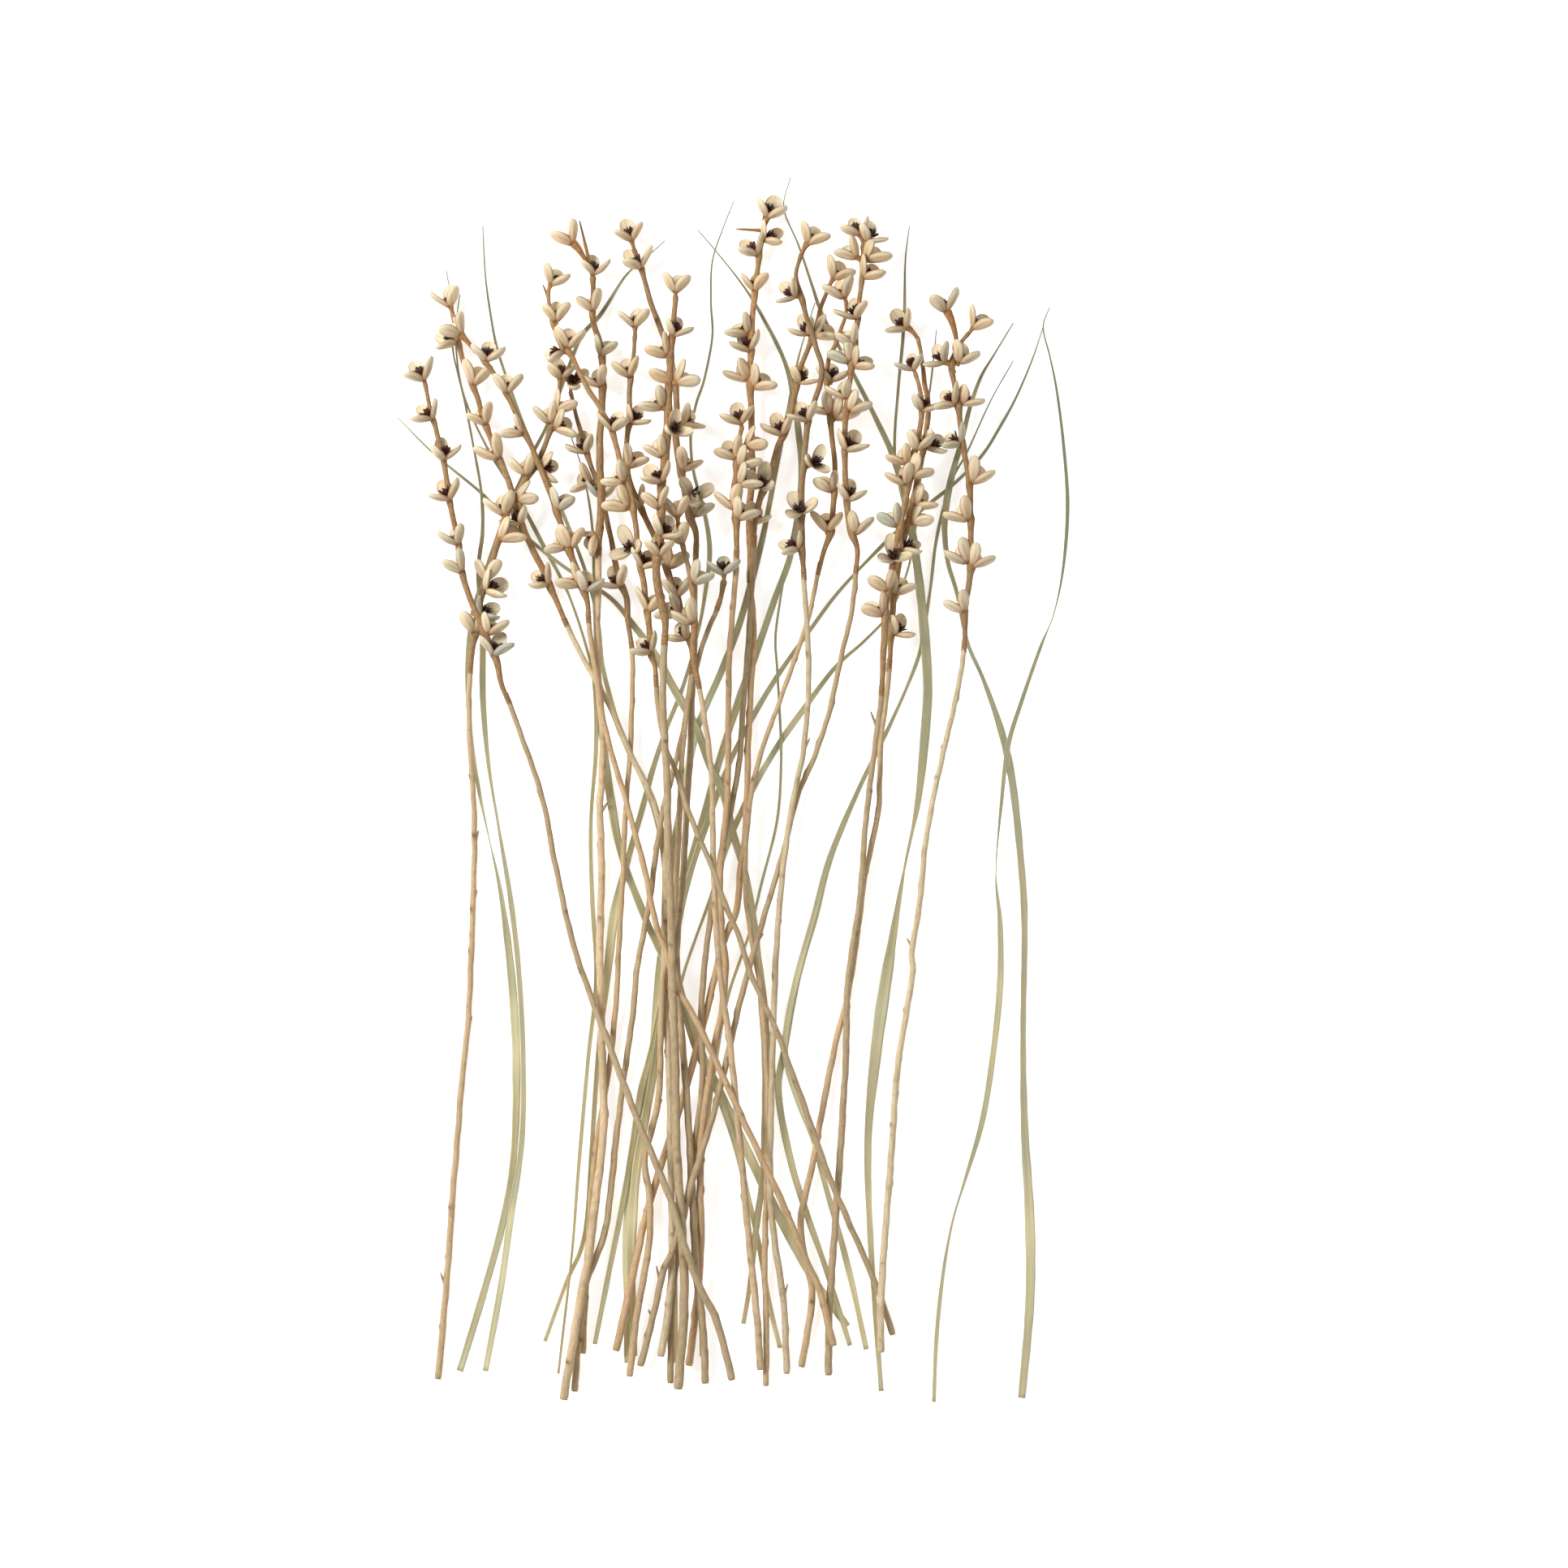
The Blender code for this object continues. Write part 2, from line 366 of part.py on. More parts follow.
        (-425, 3.5), (-180, 3.0), (-110, 1.8), (-80, 2.5), (-50, 4.4), (57, 4.4), (90, 2.8),
        (125, 1.6)], route=[
        (-43, -425), (-44, -350), (-47, -290), (-48, -230), (-47, -180), (-38, -140), (-28, -110),
        (-17, -80), (-8, -50), (2, -25), (14, 0), (30, 28), (50, 57), (75, 90), (97, 110), (115, 130),
        (128, 160), (134, 190), (137, 220), (140, 250), (143, 280), (147, 310), (150, 340)]),
}

# The pieces in the order in which they come to rest, the lowest first
LAYING_ORDER = [
    "blade_16", "blade_17", "blade_13", "blade_08", "blade_14", "blade_06", "blade_05", "blade_01",
    "blade_15", "blade_12", "blade_10", "blade_11", "blade_03", "blade_09", "blade_02", "blade_04",
    "blade_07", "branch_14", "branch_15", "branch_07", "branch_03", "branch_17", "branch_13",
    "branch_12", "branch_09", "branch_10", "branch_18", "branch_16", "branch_11", "branch_20",
    "branch_05", "branch_19", "branch_02", "branch_06", "branch_21", "branch_04", "branch_08",
    "branch_01",
]

DRY_ROUGHNESS = 0.8
TWIG_COLOUR = (0.52, 0.38, 0.25)
SPIKE_COLOUR = (0.74, 0.60, 0.42)
BLADE_COLOUR = (0.42, 0.41, 0.26)


def clear_scene():
    for thing in list(bpy.data.objects):
        bpy.data.objects.remove(thing, do_unlink=True)


def smooth_curve(points):
    """Dense points on a Catmull-Rom curve through the hand-chosen points."""
    chosen = np.array(points, float)
    padded = np.vstack([2 * chosen[0] - chosen[1], chosen, 2 * chosen[-1] - chosen[-2]])
    t = np.linspace(0, 1, CURVE_STEPS, endpoint=False)[:, None]
    spans = []
    for a, b, c, d in zip(padded[:-3], padded[1:-2], padded[2:-1], padded[3:]):
        cubic = 2 * b + (c - a) * t + (2 * a - 5 * b + 4 * c - d) * t ** 2 + (3 * b - a - 3 * c + d) * t ** 3
        spans.append(cubic / 2)
    return np.vstack(spans + [chosen[-1:]])


def lengths_along(points):
    steps = np.linalg.norm(np.diff(points, axis=0), axis=1)
    return np.concatenate([[0], np.cumsum(steps)])


def points_at(points, s):
    along = lengths_along(points)
    return np.column_stack([np.interp(s, along, points[:, axis]) for axis in range(points.shape[1])])


def even_steps(start, end, step):
    count = max(1, round((end - start) / step))
    return np.linspace(start, end, count + 1)


class Line:
    """A polyline seen from above: its knots, the distance of each along it, and later their heights."""

    def __init__(self, knots, s):
        self.knots = knots
        self.s = s
        self.z = np.zeros(len(s))

    def place(self, s):
        return np.column_stack([np.interp(s, self.s, self.knots[:, axis]) for axis in (0, 1)])

    def height(self, s):
        return np.interp(s, self.s, self.z)

    def direction(self, s):
        segment = np.clip(np.searchsorted(self.s, s, side="right") - 1, 0, len(self.s) - 2)
        run = np.diff(self.knots, axis=0)[segment]
        return run / np.linalg.norm(run, axis=1)[:, None]

    def nearest(self, point, start):
        s = np.arange(start, self.s[-1], SEARCH_STEP)
        return s[np.argmin(np.linalg.norm(self.place(s) - np.array(point), axis=1))]


def across(direction):
    return np.column_stack([-direction[:, 1], direction[:, 0]])


def tube_samples(line, profile):
    """Points on the lower and upper side of a round tube, with the distance along it that each rides on."""
    s = np.arange(line.s[0], line.s[-1], SAMPLE_STEP)
    place, side, radius = line.place(s), across(line.direction(s)), np.interp(s, *profile)
    rows = []
    for u in np.linspace(-1, 1, SAMPLES_ACROSS):
        flat = place + side * (u * radius)[:, None]
        rise = np.sqrt(1 - u * u) * radius
        rows.append(np.column_stack([s, flat, -rise]))
        rows.append(np.column_stack([s, flat, rise]))
    return np.vstack(rows)


def blade_samples(line, half_widths, rolls):
    s = np.arange(line.s[0], line.s[-1], SAMPLE_STEP)
    place, side = line.place(s), across(line.direction(s))
    half, roll = np.interp(s, line.s, half_widths), np.interp(s, line.s, rolls)
    rows = []
    for u in np.linspace(-1, 1, SAMPLES_ACROSS):
        flat = place + side * (u * half * np.cos(roll))[:, None]
        rise = u * half * np.sin(roll)
        for face in (-1, 1):
            rows.append(np.column_stack([s, flat, rise + face * BLADE_THICKNESS / 2]))
    return np.vstack(rows)


def triangle_samples(corners):
    """Points spread over one triangle, closer together than the cells of the table."""
    a, b, c = (np.array(corner) for corner in corners)
    longest = max(np.linalg.norm(b - a), np.linalg.norm(c - a), np.linalg.norm(c - b))
    n = max(1, int(np.ceil(longest / SAMPLE_STEP)))
    i, j = np.meshgrid(np.arange(n + 1), np.arange(n + 1))
    keep = i + j <= n
    u, v = i[keep][:, None] / n, j[keep][:, None] / n
    return a + (b - a) * u + (c - a) * v


class Table:
    """The height of what lies on the table already, in cells of one millimetre."""

    def __init__(self):
        self.top = np.zeros((TABLE_X[1] - TABLE_X[0], TABLE_Y[1] - TABLE_Y[0]))

    def cells(self, xy):
        return np.round(xy[:, 0] - TABLE_X[0]).astype(int), np.round(xy[:, 1] - TABLE_Y[0]).astype(int)

    def needed(self, samples):
        """Least height of the piece's line at each sample, over its own cell and the eight round it."""
        wide = self.top.copy()
        for axis in (0, 1):
            wide = np.maximum(wide, np.maximum(np.roll(wide, 1, axis), np.roll(wide, -1, axis)))
        under = wide[self.cells(samples[:, 1:3])]
        return under + CONTACT_GAP * (under > TABLE_GAP) - samples[:, 3]

    def add(self, samples, heights):
        """Lay a piece down. What comes after the first, flat one stays a hair above the bare table."""
        np.maximum.at(self.top, self.cells(samples[:, 1:3]), samples[:, 3] + heights)
        np.maximum(self.top, TABLE_GAP, out=self.top)


def settle(line, samples, table, bend):
    """Give the line low heights at which it clears the table and bends gently between its supports."""
    need = table.needed(samples)
    segment = np.clip(np.searchsorted(line.s, samples[:, 0], side="right") - 1, 0, len(line.s) - 2)
    top = np.zeros(len(line.s) - 1)
    np.maximum.at(top, segment, need)
    z = np.maximum(np.append(top, top[-1]), np.insert(top, 0, top[0]))
    share = (samples[:, 0] - line.s[segment]) / np.diff(line.s)[segment]
    held = [(need[segment == k], share[segment == k]) for k in range(len(top))]
    for _ in range(RELAXATIONS):
        for i in range(len(z)):
            z[i] = max(z[i] - LOWERING, lowest_height(i, z, line.s, held, bend))
    line.z = z
    table.add(samples, line.height(samples[:, 0]))


def lowest_height(i, z, s, held, bend):
    """How low one knot may go with its neighbours as they are."""
    limits = [(np.delete(z, i) - bend * (np.delete(s, i) - s[i]) ** 2).max()]
    if i > 0:
        need, share = held[i - 1]
        limits.append(((need - z[i - 1] * (1 - share)) / np.maximum(share, LEAST_SHARE)).max(initial=0))
    if i < len(z) - 1:
        need, share = held[i]
        limits.append(((need - z[i + 1] * share) / np.maximum(1 - share, LEAST_SHARE)).max(initial=0))
    if 0 < i < len(z) - 1:
        before, after = s[i] - s[i - 1], s[i + 1] - s[i]
        chord = (z[i - 1] * after + z[i + 1] * before) / (before + after)
        limits.append(chord - bend * before * after)
    return max(limits)


def material(name, colour):
    made = bpy.data.materials.new(name)
    made.use_nodes = True
    shader = made.node_tree.nodes["Principled BSDF"]
    shader.inputs["Base Color"].default_value = (*colour, 1)
    shader.inputs["Roughness"].default_value = DRY_ROUGHNESS
    return made


def add_object(name, data, colour, collection):
    thing = bpy.data.objects.new(name, data)
    collection.objects.link(thing)
    thing.data.materials.append(material(name, colour))
    return thing


def tube_object(name, points, radii, sides_level, colour, collection):
    """A tube with closed ends along 3-D points in millimetres."""
    curve = bpy.data.curves.new(name, "CURVE")
    curve.dimensions = "3D"
    curve.twist_mode = "Z_UP"
    curve.bevel_depth = MM
    curve.bevel_resolution = sides_level
    curve.use_fill_caps = True
    spline = curve.splines.new("POLY")
    spline.points.add(len(points) - 1)
    for knot, place, radius in zip(spline.points, points, radii):
        knot.co = (*(place * MM), 1)
        knot.radius = radius
    return add_object(name, curve, colour, collection)


def as_mesh(thing):
    """The same tube as a closed mesh, for a union."""
    name, place, home = thing.name, thing.matrix_world.copy(), thing.users_collection[0]
    evaluated = thing.evaluated_get(bpy.context.evaluated_depsgraph_get())
    mesh = bpy.data.meshes.new_from_object(evaluated)
    bpy.data.objects.remove(thing, do_unlink=True)
    shape = bmesh.new()
    shape.from_mesh(mesh)
    bmesh.ops.remove_doubles(shape, verts=shape.verts, dist=WELD * MM)
    bmesh.ops.recalc_face_normals(shape, faces=shape.faces)
    shape.to_mesh(mesh)
    shape.free()
    solid = bpy.data.objects.new(name, mesh)
    solid.matrix_world = place
    home.objects.link(solid)
    return solid


def stretch(line, start, end):
    """The knots of a line between two distances, with a point at each end."""
    inside = line.s[(line.s > start + END_ROOM) & (line.s < end - END_ROOM)]
    s = np.concatenate([[start], inside, [end]])
    return s, np.column_stack([line.place(s), line.height(s)])


def branch_line(row):
    """One line for twig and spike together, with extra knots where the wire was wound."""
    whole = smooth_curve(row["twig"] + row["spike"])
    along = lengths_along(whole)
    last_twig_point = (len(row["twig"]) - 1) * CURVE_STEPS
    splice = along[last_twig_point]
    twig_s = even_steps(0, splice, STEM_STEP)
    spike_s = even_steps(splice + WRAP_LENGTH + WRAP_RAMP, along[-1], SPIKE_STEP)
    s = np.concatenate([twig_s, [splice + WRAP_LENGTH], spike_s])
    return Line(points_at(whole, s), s), splice


def branch_profile(row, splice, end):
    """Distances along a branch and its radius at each, with the wound wire as a step."""
    at_cut, at_splice = row["radii"]
    cut, wrap_end = splice - SPLICE_BACK, splice + WRAP_LENGTH
    s = [0, cut - SPLICE_GAP, cut, wrap_end, wrap_end + WRAP_RAMP, end]
    proud = at_splice + WRAP_PROUD
    return s, [at_cut, at_splice, proud, proud, at_splice, at_splice * SPIKE_TIP]


def pod_layout(row, line, splice, table, random):
    """Where each pod springs from its spike and how it points, in millimetres and radians.

    Of a few ways to turn, each pod takes the one that lies lowest among what is there already.
    """
    pods = []
    for mouth, (middle_x, middle_y, *spring) in zip(map(int, row["mouths"]), row["pods"]):
        root, sideways = pod_root(line, (middle_x, middle_y), spring, splice + FIRST_POD)
        start = line.place(np.array([root]))[0]
        run_x, run_y = middle_x - start[0], middle_y - start[1]
        lift = NEAR_LINE_TILT if sideways < NEAR_LINE else 0
        opening, scale = radians(random.uniform(*OPENINGS[mouth])), random.uniform(*PLUMP)
        tries = []
        for _ in range(POD_TRIES):
            tilt, pitch = radians(random.uniform(*TILTS) + lift), radians(random.uniform(*PITCHES[mouth]))
            turn = radians(random.uniform(*TURNS[mouth]))
            reach = max((hypot(run_x, run_y) - POD_MIDDLE * cos(pitch)) / cos(tilt), PEDICEL_MIN)
            pod = dict(root=root, start=start, heading=np.arctan2(run_y, run_x), tilt=tilt, pitch=pitch,
                       reach=reach, turn=turn, opening=opening, scale=scale)
            pod["shape"] = pod_shape(pod)
            pod["samples"] = pod_samples(pod)
            tries.append((table.needed(pod["samples"]).max(), len(tries), pod))
        pods.append(min(tries)[2])
    return pods


def pod_root(line, middle, spring, first):
    """Where along the line a pod's stalk starts, and how far to the side of the line the pod stands."""
    nearest = line.nearest(middle, first)
    sideways = hypot(*(np.array(middle) - line.place(np.array([nearest]))[0]))
    if spring:
        return line.nearest(spring, first), sideways
    last = line.s[-1] - STALK_SUNK
    set_back = POD_SET_BACK if nearest < last else 0
    return max(first, min(nearest, last) - set_back), sideways


def pointing(heading, rise):
    """A direction from its heading seen from above and its rise over the level."""
    return Vector((cos(heading) * cos(rise), sin(heading) * cos(rise), sin(rise)))


def stalk_run(pod):
    """The way from the root of a pod's stalk to the foot of the pod."""
    return pointing(pod["heading"], pod["tilt"]) * pod["reach"]


def pod_frame(pod):
    """The pod's axis and two directions across it, the second one upward."""
    axis = pointing(pod["heading"], pod["pitch"])
    side = axis.cross(Vector((0, 0, 1))).normalized()
    return axis, side, side.cross(axis).normalized()


def pod_shape(pod):
    """Three boat-shaped valves on one tapering stalk, with their foot at the origin, in millimetres."""
    axis, side, up = pod_frame(pod)
    shape = bmesh.new()
    tail = shape.verts.new(-stalk_run(pod) * (1 + STALK_SUNK / pod["reach"]))
    floor = shape.verts.new(axis * POD_FLOOR)
    clefts = []
    for k in range(VALVES):
        turn = pod["turn"] + (k - 0.5) * THIRD_TURN
        clefts.append(shape.verts.new((side * cos(turn) + up * sin(turn)) * CLEFT_RADIUS))
    for k in range(VALVES):
        near, far = clefts[k], clefts[(k + 1) % VALVES]
        turn = pod["turn"] + k * THIRD_TURN
        outward = side * cos(turn) + up * sin(turn)
        along = axis * cos(pod["opening"]) + outward * sin(pod["opening"])
        deep = outward * cos(pod["opening"]) - axis * sin(pod["opening"])
        wide = deep.cross(along)
        low_edge, high_edge = [], []
        for t, spread in (VALVE_WAIST, VALVE_END):
            middle = along * VALVE_LENGTH * t + deep * VALVE_CURL * t ** 3
            low_edge.append(shape.verts.new((middle - wide * VALVE_HALF_WIDTH * spread) * pod["scale"]))
            high_edge.append(shape.verts.new((middle + wide * VALVE_HALF_WIDTH * spread) * pod["scale"]))
        keel = shape.verts.new((along * VALVE_LENGTH * KEEL_AT + deep * VALVE_DEPTH) * pod["scale"])
        if (clefts[k].co - low_edge[0].co).length > (clefts[k].co - high_edge[0].co).length:
            low_edge, high_edge = high_edge, low_edge
        shape.faces.new((tail, near, far))
        shape.faces.new((near, far, keel))
        shape.faces.new((near, keel, low_edge[0]))
        shape.faces.new((far, high_edge[0], keel))
        shape.faces.new((low_edge[0], keel, low_edge[1]))
        shape.faces.new((high_edge[0], high_edge[1], keel))
        shape.faces.new((low_edge[1], keel, high_edge[1]))
        shape.faces.new((floor, low_edge[0], low_edge[1]))
        shape.faces.new((floor, low_edge[1], high_edge[1]))
        shape.faces.new((floor, high_edge[1], high_edge[0]))
        shape.faces.new((near, low_edge[0], floor))
        shape.faces.new((far, floor, high_edge[0]))
    bmesh.ops.recalc_face_normals(shape, faces=shape.faces)
    return shape


def pod_samples(pod):
    """Points over a pod for the table, riding on the place where its stalk starts."""
    foot = np.array([*pod["start"], 0]) + np.array(stalk_run(pod))
    corners = [[np.array(vert.co) + foot for vert in face.verts] for face in pod["shape"].faces]
    points = np.vstack([triangle_samples(three) for three in corners])
    return np.column_stack([np.full(len(points), pod["root"]), points])


def build_branch(code, table, collection, random):
    row = BRANCHES[code]
    line, splice = branch_line(row)
    profile = branch_profile(row, splice, line.s[-1])
    pods = pod_layout(row, line, splice, table, random)
    samples = [tube_samples(line, profile)] + [pod["samples"] for pod in pods]
    settle(line, np.vstack(samples), table, TWIG_BEND)

    cut = splice - SPLICE_BACK
    s, points = stretch(line, 0, cut - SPLICE_GAP)
    tube_object("stem_" + code, points, np.interp(s, *profile), 1, TWIG_COLOUR, collection)
    s, points = stretch(line, cut, line.s[-1])
    name = "spike_" + code
    rachis = as_mesh(tube_object(name, points, np.interp(s, *profile), 0, SPIKE_COLOUR, collection))

    extras = bpy.data.collections.new("pods_" + code)
    bpy.context.scene.collection.children.link(extras)
    for pod in pods:
        foot = Vector((*pod["start"], float(line.height(pod["root"])))) + stalk_run(pod)
        for vert in pod["shape"].verts:
            vert.co = (vert.co + foot) * MM
        mesh = bpy.data.meshes.new("pod")
        pod["shape"].to_mesh(mesh)
        extras.objects.link(bpy.data.objects.new("pod", mesh))
    fuse(rachis, extras)


def fuse(base, extras):
    """Join everything in a collection to one solid, then remove the collection."""
    join = base.modifiers.new("join", "BOOLEAN")
    join.operation = "UNION"
    join.operand_type = "COLLECTION"
    join.collection = extras
    join.solver = "EXACT"
    bpy.context.view_layer.objects.active = base
    bpy.ops.object.modifier_apply(modifier=join.name)
    for thing in list(extras.objects):
        bpy.data.objects.remove(thing, do_unlink=True)
    bpy.data.collections.remove(extras)


def blade_form(row, s, y):
    """Half widths and rolls of a blade: where little of it shows, it narrows and turns on edge."""
    end, width = s[-1], row["width"]
    widths = [width * FOOT_WIDTH, width, width, BLADE_TIP_WIDTH]
    full = np.interp(s, [0, BLADE_FOOT, end - BLADE_TAPER, end], widths)
    seen = np.interp(y, *zip(*row["seen"]))
    full = np.minimum(full, np.maximum(seen * SEEN_TO_WIDE, width * NARROWEST))
    return full / 2, np.arccos(np.minimum(seen / full, 1))


def build_blade(code, table, collection):
    """A strip along the route, split into triangles and given its thickness."""
    row = BLADES[code]
    whole = smooth_curve(row["route"])
    s = even_steps(0, lengths_along(whole)[-1], BLADE_STEP)
    line = Line(points_at(whole, s), s)
    half, rolls = blade_form(row, s, line.knots[:, 1])
    settle(line, blade_samples(line, half, rolls), table, BLADE_BEND)

    directions = line.direction(s)
    directions[1:-1] = directions[1:-1] + directions[:-2]
    directions /= np.linalg.norm(directions, axis=1)[:, None]
    side = across(directions)
    edges = []
    for hand in (-1, 1):
        flat = line.knots + side * (hand * half * np.cos(rolls))[:, None]
        edges.append(np.column_stack([flat, line.z + hand * half * np.sin(rolls)]))
    strip = bmesh.new()
    left, right = ([strip.verts.new(point * MM) for point in edge] for edge in edges)
    for i in range(len(s) - 1):
        strip.faces.new((left[i], right[i], right[i + 1]))
        strip.faces.new((left[i], right[i + 1], left[i + 1]))
    bmesh.ops.recalc_face_normals(strip, faces=strip.faces)
    mesh = bpy.data.meshes.new("blade_" + code)
    strip.to_mesh(mesh)
    strip.free()
    blade = add_object("blade_" + code, mesh, BLADE_COLOUR, collection)
    thick = blade.modifiers.new("thickness", "SOLIDIFY")
    thick.thickness = BLADE_THICKNESS * MM
    thick.offset = 0


def centre_on_origin(collection):
    """Move the bunch so that the middle of its box is over the origin and its lowest point on the table."""
    depsgraph = bpy.context.evaluated_depsgraph_get()
    corners = []
    for thing in collection.objects:
        mesh = thing.evaluated_get(depsgraph).to_mesh()
        corners += [thing.matrix_world @ vert.co for vert in mesh.vertices]
        thing.evaluated_get(depsgraph).to_mesh_clear()
    places = np.array(corners)
    low, high = places.min(axis=0), places.max(axis=0)
    for thing in collection.objects:
        thing.location = (-(low[0] + high[0]) / 2, -(low[1] + high[1]) / 2, -low[2])


def main():
    clear_scene()
    bunch = bpy.data.collections.new("dried_branch_bunch")
    bpy.context.scene.collection.children.link(bunch)
    table = Table()
    for number, name in enumerate(LAYING_ORDER):
        kind, code = name.split("_")
        if kind == "branch":
            build_branch(code, table, bunch, np.random.default_rng(SEED + number))
        else:
            build_blade(code, table, bunch)
    bpy.context.view_layer.update()
    centre_on_origin(bunch)


main()
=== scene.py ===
"""Looks of the bunch of dried branches with open seed pods and long grass blades, lying on a table.

The lay of the bunch is worked out again here from the same routes as the solids, so that each fine piece
lies where its solid lies. Routes are in millimetres, seen from above; the pieces are made in metres.
"""
from math import cos, hypot, pi, radians, sin

import bmesh
import bpy
import numpy as np
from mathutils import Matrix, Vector

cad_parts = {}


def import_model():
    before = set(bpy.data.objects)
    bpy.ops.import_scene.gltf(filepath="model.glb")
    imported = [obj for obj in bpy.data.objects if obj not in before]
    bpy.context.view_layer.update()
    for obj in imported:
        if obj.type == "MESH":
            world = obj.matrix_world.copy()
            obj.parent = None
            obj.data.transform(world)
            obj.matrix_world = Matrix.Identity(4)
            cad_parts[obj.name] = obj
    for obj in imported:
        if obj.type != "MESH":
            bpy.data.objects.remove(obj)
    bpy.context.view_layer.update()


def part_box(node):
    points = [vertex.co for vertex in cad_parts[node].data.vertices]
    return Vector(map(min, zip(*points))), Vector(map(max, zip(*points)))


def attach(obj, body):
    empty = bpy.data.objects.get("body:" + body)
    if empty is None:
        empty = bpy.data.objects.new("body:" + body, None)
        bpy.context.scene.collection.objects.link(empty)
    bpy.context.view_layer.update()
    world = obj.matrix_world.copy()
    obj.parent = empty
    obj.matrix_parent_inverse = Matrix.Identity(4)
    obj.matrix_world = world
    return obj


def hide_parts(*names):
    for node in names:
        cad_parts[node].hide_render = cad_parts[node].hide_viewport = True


MM = 0.001
SEED = 41
LOOK_SEED = 900

# Distances in the lay of the bunch, in millimetres
CONTACT_GAP = 0.3
TABLE_GAP = 0.05
SPLICE_GAP = 0.3
SPLICE_BACK = 3.0
STEM_STEP = 54.0
SPIKE_STEP = 36.0
BLADE_STEP = 50.0
CURVE_STEPS = 24
SAMPLE_STEP = 0.7
SAMPLES_ACROSS = 11
RELAXATIONS = 80
LOWERING = 0.5
LEAST_SHARE = 0.001
SEARCH_STEP = 1.0
TABLE_X = (-290, 290)
TABLE_Y = (-490, 490)

# How sharply a piece may bend between the pieces that hold it up, as height over distance squared
TWIG_BEND = 0.0022
BLADE_BEND = 0.0045

# Pods, in millimetres and degrees
VALVES = 3
THIRD_TURN = 2 * pi / VALVES
VALVE_LENGTH = 17.2
VALVE_HALF_WIDTH = 4.6
VALVE_DEPTH = 3.9
VALVE_CURL = 2.0
POD_MIDDLE = 7.5
POD_SET_BACK = 9.0
POD_FLOOR = 3.0
POD_TRIES = 6
CLEFT_RADIUS = 1.7
PEDICEL_MIN = 4.0
STALK_SUNK = 1.0
PLUMP = (0.92, 1.08)
NEAR_LINE = 7.0
NEAR_LINE_TILT = 18
TILTS = (-4, 8)
FIRST_POD = 18.0

# How far a pod rises, is turned and opens, by how far its mouth faces up: away, aside, level or up
PITCHES = ((-24, -8), (-14, 2), (2, 16), (36, 52))
TURNS = ((-110, -70), (-112, -68), (-112, -68), (-140, -40))
OPENINGS = ((30, 40), (36, 46), (42, 54), (48, 58))

# Sections of a valve: how far along it and how much of its full width
VALVE_WAIST = (0.40, 0.94)
VALVE_END = (0.92, 0.52)
KEEL_AT = 0.5

# The wound wire at the foot of each spike, and the taper above it, in millimetres
WRAP_LENGTH = 13.0
WRAP_PROUD = 0.8
WRAP_RAMP = 2.0
SPIKE_TIP = 0.55

# Blades, in millimetres
BLADE_THICKNESS = 0.8
BLADE_TIP_WIDTH = 1.2
BLADE_TAPER = 210.0
BLADE_FOOT = 30.0
FOOT_WIDTH = 0.8
SEEN_TO_WIDE = 1.35
NARROWEST = 0.45

